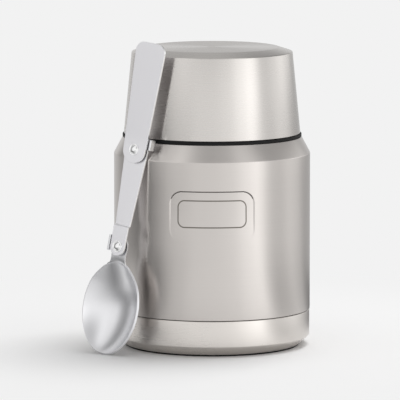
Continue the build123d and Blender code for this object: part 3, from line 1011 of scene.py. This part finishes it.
@dataclass
class ServingCup:
    """Steel cup that is the jar's lid, with its liner, thread ring, foam and seal."""

    finishes: Finishes
    body: str = "cup"
    rim_radius: float = 46.8
    rim_height: float = 113.0
    rim_rounding: float = 0.4
    edge_radius: float = 42.6
    edge_height: float = 156.2
    edge_rounding: float = 0.4
    crown_radius: float = 35.0
    crown_height: float = 158.7
    crown_rounding: float = 0.9
    wall: float = 0.6
    sectors: Sectors = ((FULL_TURN, 240),)

    def build_wall(self) -> Piece:
        """Turns the cup's steel outside.

        Returns:
            The cup, with its rings rounded.
        """
        outline = [
            (0, self.crown_height), (self.crown_radius, self.crown_height),
            (self.edge_radius, self.edge_height), (self.rim_radius, self.rim_height),
            (self.rim_radius - self.wall, self.rim_height),
            (self.edge_radius - self.wall, self.edge_height - self.wall),
            (self.crown_radius, self.crown_height - self.wall),
            (0, self.crown_height - self.wall),
        ]
        cup = lathe("cup_wall", outline, self.sectors)
        round_ring(cup, self.crown_radius, self.crown_height, self.crown_rounding)
        round_ring(cup, self.edge_radius, self.edge_height, self.edge_rounding, 5)
        round_ring(cup, self.rim_radius, self.rim_height, self.rim_rounding)
        smooth_turned(cup)
        return cup

    def build(self) -> None:
        """Builds the steel outside and dresses the carried-over nodes."""
        settle(self.build_wall(), self.body, "cup_steel", self.finishes["cup"], node="cup_shell")
        self.finishes.dress(
            cup_liner="liner", cup_thread_ring="liner", cup_foam="foam", cup_gasket="seal",
        )


def spoon_place() -> Matrix:
    """Works out from its two rivets how the spoon leans.

    Returns:
        The matrix from the spoon's own space, with X to the right, Y from its tip upwards
        and Z outward, to the jar's.
    """
    joints = {joint["name"]: joint for joint in frame["joints"]}
    low = Vector(joints["bowl_fold"]["pos_m"])
    high = Vector(joints["handle_fold"]["pos_m"])
    outward = Vector(joints["bowl_fold"]["axis"]).normalized()
    upward = (high - low).normalized()
    right = upward.cross(outward).normalized()
    place = Matrix((right, upward, outward)).transposed().to_4x4()
    place.translation = low - upward * BOWL_PIVOT * MM
    return place


@dataclass(frozen=True)
class BentStop:
    """A stop bent up at a link's side: a bridge outwards and a tongue at its end.

    It is in the spoon's own space, in millimetres.
    """

    side: float                  # its outer side, less than 0 on the left
    low: float                   # its lower end, along the spoon
    length: float                # along the spoon
    height: float                # of the tongue
    bridge_start: float = 2.0    # off the spoon's middle

    def build(self, sheet: float, edge: float) -> list[Piece]:
        """Makes the bridge and the tongue, with their edges rounded.

        Args:
            sheet: thickness of the metal.
            edge: width of the rounding.

        Returns:
            The bridge and the tongue.
        """
        way = math.copysign(1, self.side)
        pieces = []
        for name, inner, height in (("bridge", way * self.bridge_start, sheet),
                                    ("tongue", self.side - way * sheet, self.height)):
            size = (abs(self.side - inner), self.length, height)
            middle = Vector((self.side + inner, 2 * self.low + self.length, height)) / 2 * MM
            cube = bpy.ops.mesh.primitive_cube_add
            pieces.append(start(name, cube, size=MM, location=middle, scale=size))
            soften_edges(pieces[-1], edge)
        return pieces


@dataclass
class FoldingSpoon:
    """Three stamped steel links joined by two rivets, in millimetres and degrees."""

    finishes: Finishes
    place: Matrix
    sheet: float = 1.1
    edge: float = 0.2
    length: float = 165.7
    end_share: float = 0.98      # a round end's corners, as a share of its half width
    end_faces: int = 12          # faces round a corner
    bowl_length: float = 49.2
    bowl_width: float = 35.0
    bowl_depth: float = 7.35
    bowl_roundness: float = 7.0
    bowl_sheet: float = 1.056    # the sheet thins as the bowl is drawn
    bowl_angle: float = 55.0     # sharper edges of the bowl are rounded
    rim_setback: float = 0.85
    rim_play: float = 0.15       # how far below the rim a place still counts as on it
    rim_outward: float = 0.35    # how far a rim's face has to look outwards
    rim_downward: float = -0.8   # and what looks down more than this is the bowl's back
    tip_setback: float = 0.75
    flare_share: float = 0.48    # share of the bowl's width that the neck grows from
    flare_narrow: float = 0.985  # its ends lie this share of that width apart
    flare_back: float = 1.4      # and this far from the bowl's upper end
    waist: float = 46.5          # where the bowl draws in towards its neck
    waist_play: float = 1.5
    waist_reach: float = 10.0
    waist_share: float = 0.93
    # rows of the neck: distance along, half width, height of the back, flattening
    neck_rows: tuple[tuple[float, ...], ...] = (
        (48.9, 5.5, -0.35, 0.55), (51.0, 4.75, 0.0, 0.3), (54.0, 4.75, 0.0, 0.1),
        (BOWL_PIVOT, 5.0, 0.0, 1.0), (60.6, 4.4, 0.0, 1.0), (62.3, 2.7, 0.0, 1.0),
    )
    # where bowl and neck are blended: the edge of that area and how far in it is reached
    blend_low: Span = (43.5, 3.0)
    blend_high: Span = (55.0, 2.0)
    blend_side: Span = (8.0, 2.5)
    blend_rounds: int = 260
    tab_half: float = 4.7
    tab_end: float = 4.9
    tab_back: float = 1.2
    arm_low_half: float = 4.8
    arm_top_half: float = 7.4
    joggle_low: float = 68.5
    joggle_high: float = 69.0
    handle_back: float = 2.05
    handle_low_half: float = 7.2
    handle_bend_half: float = 7.56
    handle_top_half: float = 9.8
    handle_corner: float = 5.5
    handle_bend: float = 117.3
    handle_tilt: float = 1.862
    arm_stop: BentStop = BentStop(side=10.6, low=HANDLE_PIVOT + 1.1, length=5.5, height=3.8)
    bowl_stop: BentStop = BentStop(side=-6.2, low=BOWL_PIVOT - 2.9, length=8.2, height=2.7)
    side_normal: float = 0.77    # a face that looks up or down less than this is a side
    head_radius: float = 3.0
    head_gap: float = 0.05
    rim_height: float = 0.4
    rim_round: float = 0.1
    rim_inside: float = 2.55
    dome_radius: float = 2.25
    dome_foot: float = 0.2
    dome_top: float = 0.75
    dome_steps: int = 6
    dome_power: int = 4          # how flat the dome is in its middle
    shank_radius: float = 1.4
    sunk_radius: float = 2.3     # the upper rivet is countersunk behind
    sunk_depth: float = 0.8
    rivet_sectors: Sectors = ((FULL_TURN, 48),)

    def mark_edges(self, piece: Piece) -> None:
        """Marks the sides and rounded edges of a plate for the buffed finish."""
        mark_second(piece, lambda face: abs(face.normal.z) < self.side_normal)

    def seat(self, piece: Piece) -> Piece:
        """Moves a piece from the spoon's own space to where the spoon leans.

        Args:
            piece: the mesh object.

        Returns:
            The same object.
        """
        piece.data.transform(self.place)
        piece.data.update()
        return piece

    def plate(self, name: str, rows: Outline, back: float, low_corner: float,
              high_corner: float) -> Piece:
        """Shapes a plate with rounded ends from a plane.

        Args:
            name: of the new piece.
            rows: places along the spoon and the half width there, from the lower end up.
            back: height of the plate's back.
            low_corner: radius of the lower corners.
            high_corner: radius of the upper corners.

        Returns:
            The flat plate, closed and with its faces outwards.
        """
        low, high = rows[0][0], rows[-1][0]
        piece = start(name, bpy.ops.mesh.primitive_plane_add, size=2 * MM)
        with editing(piece):
            bpy.ops.transform.resize(value=(1, (high - low) / 2, 1), center_override=(0, 0, 0))
            bpy.ops.transform.translate(value=(0, (high + low) / 2 * MM, 0))
            for along, _ in rows[1:-1]:
                bpy.ops.mesh.select_all(action="SELECT")
                bpy.ops.mesh.bisect(plane_co=(0, along * MM, 0), plane_no=(0, 1, 0))
            for along, half in rows:
                pick(piece, lambda place, at=along: abs(place.y - at) < ON_LINE)
                bpy.ops.transform.resize(value=(half, 1, 1), center_override=(0, 0, 0))
            for end, corner in ((low, low_corner), (high, high_corner)):
                pick(piece, lambda place, at=end: abs(place.y - at) < ON_LINE)
                bpy.ops.mesh.bevel(
                    offset=corner * MM, segments=self.end_faces, affect="VERTICES", clamp_overlap=True
                )
        outward_faces(piece)
        with editing(piece):
            bpy.ops.transform.translate(value=(0, 0, back * MM))
            bpy.ops.mesh.extrude_region_move(
                TRANSFORM_OT_translate={"value": (0, 0, self.sheet * MM)}
            )
        outward_faces(piece)
        return piece

    def build_handle(self) -> Piece:
        """Shapes the handle's plate, tilted away from the arm above its flat end.

        Returns:
            The handle in its place, with its sides marked.
        """
        low = HANDLE_PIVOT - self.handle_low_half
        rows = [
            (low, self.handle_low_half), (HANDLE_PIVOT, self.handle_low_half),
            (self.handle_bend, self.handle_bend_half), (self.length, self.handle_top_half),
        ]
        plate = self.plate(
            "handle_plate", rows, self.handle_back, self.handle_low_half * self.end_share,
            self.handle_corner,
        )
        hinge = Vector((0, self.handle_bend, self.handle_back)) * MM
        with editing(plate):
            pick(plate, lambda place: place.y > self.handle_bend + ON_LINE)
            bpy.ops.transform.rotate(
                value=-math.radians(self.handle_tilt), orient_axis="X", center_override=hinge
            )
        soften_edges(plate, self.edge)
        self.mark_edges(plate)
        return self.seat(plate)

    def build_arm(self) -> Piece:
        """Shapes the middle arm with its raised tab and the stop for the handle.

        Returns:
            The arm in its place, with its sides marked.
        """
        high = HANDLE_PIVOT + self.arm_top_half
        rows = [
            (BOWL_PIVOT - self.tab_end, self.tab_half), (BOWL_PIVOT, self.tab_half),
            (self.joggle_low, self.arm_low_half), (self.joggle_high, self.arm_low_half),
            (HANDLE_PIVOT, self.arm_top_half), (high, self.arm_top_half),
        ]
        plate = self.plate("arm_plate", rows, 0, self.tab_half, self.arm_top_half * self.end_share)
        with editing(plate):
            pick(plate, lambda place: place.y < self.joggle_low + ON_LINE)
            bpy.ops.transform.translate(value=(0, 0, self.tab_back * MM))
        soften_edges(plate, self.edge)
        arm = join([plate, *self.arm_stop.build(self.sheet, self.edge)], "arm_plate")
        self.mark_edges(arm)
        return self.seat(arm)

    def shape_bowl(self) -> Piece:
        """Shapes the bowl as one thin sheet that runs on into its neck.

        Returns:
            The sheet, whose outside is the bowl's back.
        """
        height = self.bowl_depth + self.bowl_roundness
        spread = math.sqrt(1 - (self.bowl_roundness / height) ** 2)
        half_length = (self.bowl_length - self.tip_setback) / 2
        semi = Vector((self.bowl_width / 2 / spread, half_length / spread, height))
        middle = Vector((
            0, self.tip_setback + half_length, self.bowl_roundness - self.rim_setback,
        ))
        bowl = start(
            "bowl_sheet", bpy.ops.mesh.primitive_uv_sphere_add, segments=64, ring_count=32,
            radius=MM, location=middle * MM, scale=semi,
        )
        rim = -self.rim_setback
        flare = self.flare_share * self.bowl_width / 2

        def in_flare(place: Vector) -> bool:
            """Whether a place is on the stretch of rim that the neck grows from."""
            return place.z > rim - self.rim_play and place.y > middle.y and abs(place.x) < flare

        with editing(bowl):
            bpy.ops.mesh.bisect(plane_co=(0, 0, rim * MM), plane_no=(0, 0, 1), clear_outer=True)
            pick(bowl, in_flare, Domain.EDGES)
            at, half, back = self.bowl_length - self.flare_back, flare * self.flare_narrow, rim
            for next_at, next_half, next_back, flatten in self.neck_rows:
                move = (0, (next_at - at) * MM, (next_back - back) * MM)
                bpy.ops.mesh.extrude_region_move(TRANSFORM_OT_translate={"value": move})
                bpy.ops.transform.resize(
                    value=(next_half / half, flatten, 1), center_override=(0, next_at * MM, 0)
                )
                at, half, back = next_at, next_half, next_back
            pick(bowl, lambda place: abs(place.y - self.waist) < self.waist_play)
            bpy.ops.transform.resize(
                value=(self.waist_share, 1, 1), center_override=(0, 0, 0),
                use_proportional_edit=True, proportional_edit_falloff="SMOOTH",
                proportional_size=self.waist_reach * MM,
            )
        outward_faces(bowl)
        apply_modifier(bowl, "SUBSURF", levels=2, render_levels=2)
        return bowl

    def blend_neck(self, bowl: Piece) -> None:
        """Evens out the back's height where the bowl runs into its neck.

        Args:
            bowl: the bowl's sheet.
        """
        group = bowl.vertex_groups.new(name="neck_blend")
        for vertex in bowl.data.vertices:
            along, aside = vertex.co.y / MM, abs(vertex.co.x) / MM
            share = min(
                1.0, (along - self.blend_low[0]) / self.blend_low[1],
                (self.blend_high[0] - along) / self.blend_high[1],
                (self.blend_side[0] - aside) / self.blend_side[1],
            )
            if share > 0:
                group.add([vertex.index], share, "REPLACE")
        apply_modifier(
            bowl, "SMOOTH", use_x=False, use_y=False, factor=0.5, iterations=self.blend_rounds,
            vertex_group=group.name,
        )

    def build_bowl(self) -> Piece:
        """Thickens the bowl's sheet towards its hollow side and adds its stop.

        Returns:
            The bowl in its place, with its rim marked.
        """
        bowl = self.shape_bowl()
        self.blend_neck(bowl)
        apply_modifier(
            bowl, "SOLIDIFY", thickness=self.bowl_sheet * MM, offset=-1.0, use_even_offset=True
        )
        outward_faces(bowl)
        bevel(bowl, self.edge / 2, 2, self.bowl_angle)
        bpy.ops.object.shade_smooth()
        bowl = join([bowl, *self.bowl_stop.build(self.sheet, self.edge)], "bowl_sheet")
        mark_second(bowl, self.on_rim)
        return self.seat(bowl)

    def on_rim(self, face: Face) -> bool:
        """Whether a face of the bowl is on the cut edge of its sheet.

        Args:
            face: of the bowl.

        Returns:
            True on the rim, the neck's sides and the stop's.
        """
        middle = Vector((0, min(face.center.y, self.bowl_length / 2 * MM), 0))
        away = (face.center - middle).to_2d().normalized()
        outward = face.normal.to_2d().dot(away) > self.rim_outward
        above = face.center.z > -(self.rim_setback + self.rim_play) * MM
        return above and outward and face.normal.z > self.rim_downward

    def head(self, out: float, way: int) -> Outline:
        """Draws a rivet's head: a thin rim with a dome in its middle.

        Args:
            out: height of its flat side.
            way: 1 for a head on the front, -1 for one behind.

        Returns:
            Places from the shank outwards and up to the axis.
        """
        places = [
            (self.head_radius, 0.0), (self.head_radius, self.rim_height - self.rim_round),
            (self.head_radius - self.rim_round, self.rim_height),
            (self.rim_inside, self.rim_height), (self.dome_radius + self.rim_round, self.dome_foot),
        ]
        for step in range(self.dome_steps + 1):
            share = 1 - step / self.dome_steps
            fall = (self.dome_top - self.dome_foot) * share ** self.dome_power
            places.append((self.dome_radius * share, self.dome_top - fall))
        return [(radius, out + way * rise) for radius, rise in places]

    def build_rivets(self) -> list[Piece]:
        """Turns the two rivets: one flush behind, one domed on both sides.

        Returns:
            The upper and the lower rivet, in their places.
        """
        shank, sunk, gap = self.shank_radius, self.sunk_radius, self.head_gap
        front = self.handle_back + self.sheet + gap
        outline = [(0, 0), (sunk, 0), (shank, self.sunk_depth), (shank, front), *self.head(front, 1)]
        upper = lathe("upper_rivet", outline, self.rivet_sectors)
        front = self.tab_back + self.sheet + gap
        back = self.head(-gap, -1)[::-1]
        outline = [*back, (shank, -gap), (shank, front), *self.head(front, 1)]
        lower = lathe("lower_rivet", outline, self.rivet_sectors)
        for rivet, along in ((upper, HANDLE_PIVOT), (lower, BOWL_PIVOT)):
            rivet.data.transform(Matrix.Translation((0, along * MM, 0)))
            smooth_turned(rivet)
            self.seat(rivet)
        return [upper, lower]

    def build(self) -> None:
        """Builds the spoon's pieces."""
        keys = ("spoon", "side", "bowl", "edge", "rivet")
        steel, side, bowl, edge, polished = (self.finishes[key] for key in keys)
        slot = "spoon_steel"
        settle(self.build_handle(), "spoon_grip", slot, steel, side, node="spoon_handle")
        settle(self.build_arm(), "spoon_middle", slot, steel, side, node="spoon_arm")
        settle(self.build_bowl(), "spoon_front", slot, bowl, edge, node="spoon_bowl")
        for rivet, node in zip(self.build_rivets(), ("handle_rivet", "bowl_rivet")):
            settle(rivet, "spoon_middle", slot, polished, node=node)
        self.finishes.dress(handle_washer="spoon")


# ------------------------------------------------------------------ the studio
@dataclass(frozen=True)
class LightBand:
    """How bright the studio is all the way round the jar, at one elevation.

    Each place is an azimuth in degrees, counted from the front and positive to the
    right, and the brightness there, where 1 is white. The first and last are the back.
    """

    places: tuple[tuple[float, float], ...]
    brightest: float = 2.0

    def around(self, tree: Tree, turn: Node) -> Node:
        """Adds the nodes of the band's brightness.

        Args:
            tree: the node tree that they are for.
            turn: runs from 0 to 1 round the jar, starting at the back.

        Returns:
            The node with the brightness.
        """
        ramp = tree.add("ValToRGB", {"Fac": turn})
        stops = ramp.color_ramp
        stops.interpolation = "EASE"
        for azimuth, _ in self.places[1:-1]:
            stops.elements.new(azimuth / FULL_TURN + 0.5)
        for stop, (_, brightness) in zip(stops.elements, self.places):
            stop.color = (brightness / self.brightest,) * 3 + (1.0,)
        return tree.add("Math", {"operation": "MULTIPLY", 0: ramp, 1: self.brightest})


@dataclass
class Studio:
    """Floor, light and camera, in metres and, for elevations, degrees."""

    paper: str = "F2F2F2"
    floor_size: float = 14.0
    lit_floor: Span = (0.085, 0.27)      # lit by the lamp inside, even paper outside
    lit_mirrored: Span = (0.06, 0.105)   # the same for the floor as the steel mirrors it
    apron_floor: Span = (0.17, 0.30)     # mirrored as apron inside, as ground outside
    low_to_high: Span = (2.0, 34.0)      # from the low band to the high one
    high_to_top: Span = (52.0, 72.0)     # and on to the light overhead
    apron: LightBand = LightBand((
        (-180, 0.70), (-140, 0.60), (-118, 0.85), (-98, 1.00), (-82, 1.00), (-70, 0.42),
        (-58, 0.16), (-50, 0.50), (-36, 0.84), (-16, 1.04), (2, 1.08), (21, 1.12), (41, 1.36),
        (53, 1.50), (60, 1.04), (66, 0.76), (73, 0.64), (85, 0.72), (98, 0.88), (114, 0.70),
        (133, 0.34), (150, 0.24), (180, 0.70),
    ))
    ground: LightBand = LightBand((
        (-180, 0.80), (-148, 0.70), (-115, 0.38), (-90, 0.17), (-76, 0.07), (-66, 0.26),
        (-58, 0.50), (-52, 0.70), (-36, 0.80), (-16, 1.00), (2, 1.04), (21, 1.12), (41, 1.38),
        (53, 1.58), (60, 1.26), (65, 1.00), (73, 0.88), (85, 0.84), (98, 1.00), (114, 0.84),
        (133, 0.54), (150, 0.54), (180, 0.80),
    ))
    low: LightBand = LightBand((
        (-180, 0.72), (-155, 0.75), (-136, 0.30), (-121, 0.55), (-114, 0.55), (-104, 0.22),
        (-86, 0.36), (-73, 1.06), (-64, 1.00), (-56, 0.96), (-36, 1.02), (-16, 1.07), (2, 1.08),
        (21, 1.20), (41, 1.55), (53, 1.88), (60, 1.88), (66, 1.53), (71, 1.06), (80, 0.98),
        (97, 1.12), (113, 1.38), (133, 1.14), (150, 0.62), (180, 0.72),
    ))
    high: LightBand = LightBand((
        (-180, 0.56), (-152, 0.50), (-134, 0.32), (-122, 0.80), (-114, 0.85), (-104, 0.24),
        (-90, 0.22), (-80, 0.45), (-70, 1.00), (-60, 0.80), (-48, 1.08), (-36, 0.92),
        (-27, 0.68), (-18, 0.60), (-7, 0.52), (22, 0.60), (42, 0.88), (53, 0.88), (64, 0.66),
        (76, 0.44), (104, 0.46), (130, 0.30), (146, 0.20), (180, 0.56),
    ))
    top: float = 0.62                    # brightness overhead
    fill: float = 0.55                   # even light on all that isn't shiny
    lamp_power: float = 15.5
    lamp_size: float = 0.9
    lamp_place: Corner = (0.40, 0.35, 1.6)
    camera_distance: float = 2.4
    camera_height: float = 0.3727
    camera_pitch: float = 0.12264        # radians
    camera_yaw: float = -0.00267
    lens: float = 409.6                  # millimetres
    sensor: float = 36.0

    def turn(self, tree: Tree, split: bpy.types.NodeOutputs) -> Node:
        """Adds the nodes of a direction's azimuth.

        Args:
            tree: the node tree that they are for.
            split: the direction's three parts.

        Returns:
            A node that runs from 0 to 1 round the jar, starting at the back.
        """
        front = tree.add("Math", {"operation": "MULTIPLY", 0: split["Y"], 1: -1.0})
        azimuth = tree.add("Math", {"operation": "ARCTAN2", 0: split["X"], 1: front})
        return tree.add("MapRange", {"Value": azimuth, "From Min": -math.pi, "From Max": math.pi})

    def fades(self, tree: Tree, value: Any, *spans: Span) -> list[Node]:
        """Adds a gentle change from 0 to 1 for each of some spans of a value.

        Args:
            tree: the node tree that they are for.
            value: the node or socket that the spans are of.
            spans: where each change starts and ends.

        Returns:
            The node of each change.
        """
        return [
            tree.add("MapRange", {
                "interpolation_type": "SMOOTHSTEP", "Value": value, "From Min": low, "From Max": high,
            })
            for low, high in spans
        ]

    def sky(self, tree: Tree, way: Socket) -> Node:
        """Adds the nodes of the brightness in a direction above the floor.

        Args:
            tree: the world's node tree.
            way: a direction of length 1, seen from the jar.

        Returns:
            The node with the brightness, where 1 is white.
        """
        split = tree.add("SeparateXYZ", {0: way}).outputs
        turn = self.turn(tree, split)
        elevation = tree.add("Math", {"operation": "ARCSINE", 0: split["Z"]})
        spans = [tuple(map(math.radians, span)) for span in (self.low_to_high, self.high_to_top)]
        rise, crown = self.fades(tree, elevation, *spans)
        low, high = (band.around(tree, turn) for band in (self.low, self.high))
        sides = tree.add("Mix", {"data_type": "FLOAT", 0: rise, 2: low, 3: high})
        return tree.add("Mix", {"data_type": "FLOAT", 0: crown, 2: sides, 3: self.top})

    def floor_shader(self, tree: Tree, place: Socket) -> Node:
        """Adds the nodes of the floor's paper.

        Args:
            tree: the material's node tree.
            place: Object coordinates.

        Returns:
            The shader, which is lit paper near the jar and an even white further away to the camera;
            in reflections the paper glows with painted light, the apron and ground bands.
        """
        white = linear(self.paper)
        lit = tree.add("BsdfDiffuse", {"Color": white})
        seen = tree.add("Emission", {"Color": white, "Strength": 1.0})
        turn = self.turn(tree, tree.add("SeparateXYZ", {0: place}).outputs)
        length = tree.add("VectorMath", {"operation": "LENGTH", 0: place}).outputs["Value"]
        away, far_seen, far_mirrored = self.fades(
            tree, length, self.apron_floor, self.lit_floor, self.lit_mirrored
        )
        near, far = (band.around(tree, turn) for band in (self.apron, self.ground))
        bright = tree.add("Mix", {"data_type": "FLOAT", 0: away, 2: near, 3: far})
        # painted light: the floor glows with the apron and ground bands where the steel mirrors it
        mirrored = tree.add("Emission", {"Color": white, "Strength": bright})
        camera = tree.add("LightPath").outputs["Is Camera Ray"]
        paper = tree.add("MixShader", {0: camera, 1: mirrored, 2: seen})
        share = tree.add("Mix", {"data_type": "FLOAT", 0: camera, 2: far_mirrored, 3: far_seen})
        return tree.add("MixShader", {0: share, 1: lit, 2: paper})

    def build_floor(self) -> None:
        """Lays a wide pale floor that takes the jar's shadow."""
        floor = start("studio_floor", bpy.ops.mesh.primitive_plane_add, size=self.floor_size)
        floor.data.materials.append(build_material("studio_paper", self.floor_shader))

    def build_world(self) -> None:
        """Sets up soft light all round, brighter from the right front, and white where seen."""
        world = bpy.data.worlds.new("studio")
        bpy.context.scene.world = world
        tree = Tree(world)
        way = tree.add("TexCoord").outputs["Generated"]
        white = (1.0, 1.0, 1.0, 1.0)
        shining = tree.add("Background", {"Color": white, "Strength": self.sky(tree, way)})
        fill = tree.add("Background", {"Color": white, "Strength": self.fill})
        seen = tree.add("Background", {"Color": linear(self.paper), "Strength": 1.0})
        ray = tree.add("LightPath").outputs
        light = tree.add("MixShader", {0: ray["Is Glossy Ray"], 1: fill, 2: shining})
        mixed = tree.add("MixShader", {0: ray["Is Camera Ray"], 1: light, 2: seen})
        tree.add("OutputWorld", {0: mixed})

    def build_lamp(self) -> None:
        """Hangs a large softbox high on the right, which gives the shadow its side."""
        bpy.ops.object.light_add(type="AREA", location=self.lamp_place)
        lamp = bpy.context.view_layer.objects.active
        lamp.name = "softbox"
        lamp.data.size = self.lamp_size
        lamp.data.energy = self.lamp_power
        lamp.rotation_euler = (-lamp.location).to_track_quat("-Z", "Y").to_euler()
        lamp.visible_glossy = False

    def build_camera(self) -> None:
        """Places a long lens a little above the jar, as far off as a product shot is taken."""
        camera = bpy.data.cameras.new("camera")
        camera.lens = self.lens
        camera.sensor_width = self.sensor
        holder = bpy.data.objects.new("camera", camera)
        bpy.context.scene.collection.objects.link(holder)
        holder.location = (0, -self.camera_distance, self.camera_height)
        ahead = Vector((
            math.sin(self.camera_yaw) * math.cos(self.camera_pitch),
            math.cos(self.camera_yaw) * math.cos(self.camera_pitch),
            -math.sin(self.camera_pitch),
        ))
        holder.rotation_euler = ahead.to_track_quat("-Z", "Y").to_euler()
        bpy.context.scene.camera = holder

    def build(self) -> None:
        """Builds the studio."""
        self.build_camera()
        self.build_floor()
        self.build_world()
        self.build_lamp()
        bpy.context.scene.view_settings.view_transform = "Standard"


def main() -> None:
    """Builds the studio, the finishes and every sub-assembly."""
    logging.basicConfig(level=logging.INFO, format="%(message)s")
    Studio().build()
    place = spoon_place()
    finishes = Finishes(spoon_turn=place.to_3x3().inverted())
    finishes.build()
    SteelBody(finishes).build()
    Stopper(finishes).build()
    ServingCup(finishes).build()
    FoldingSpoon(finishes, place).build()


if __name__ == "__main__":
    main()
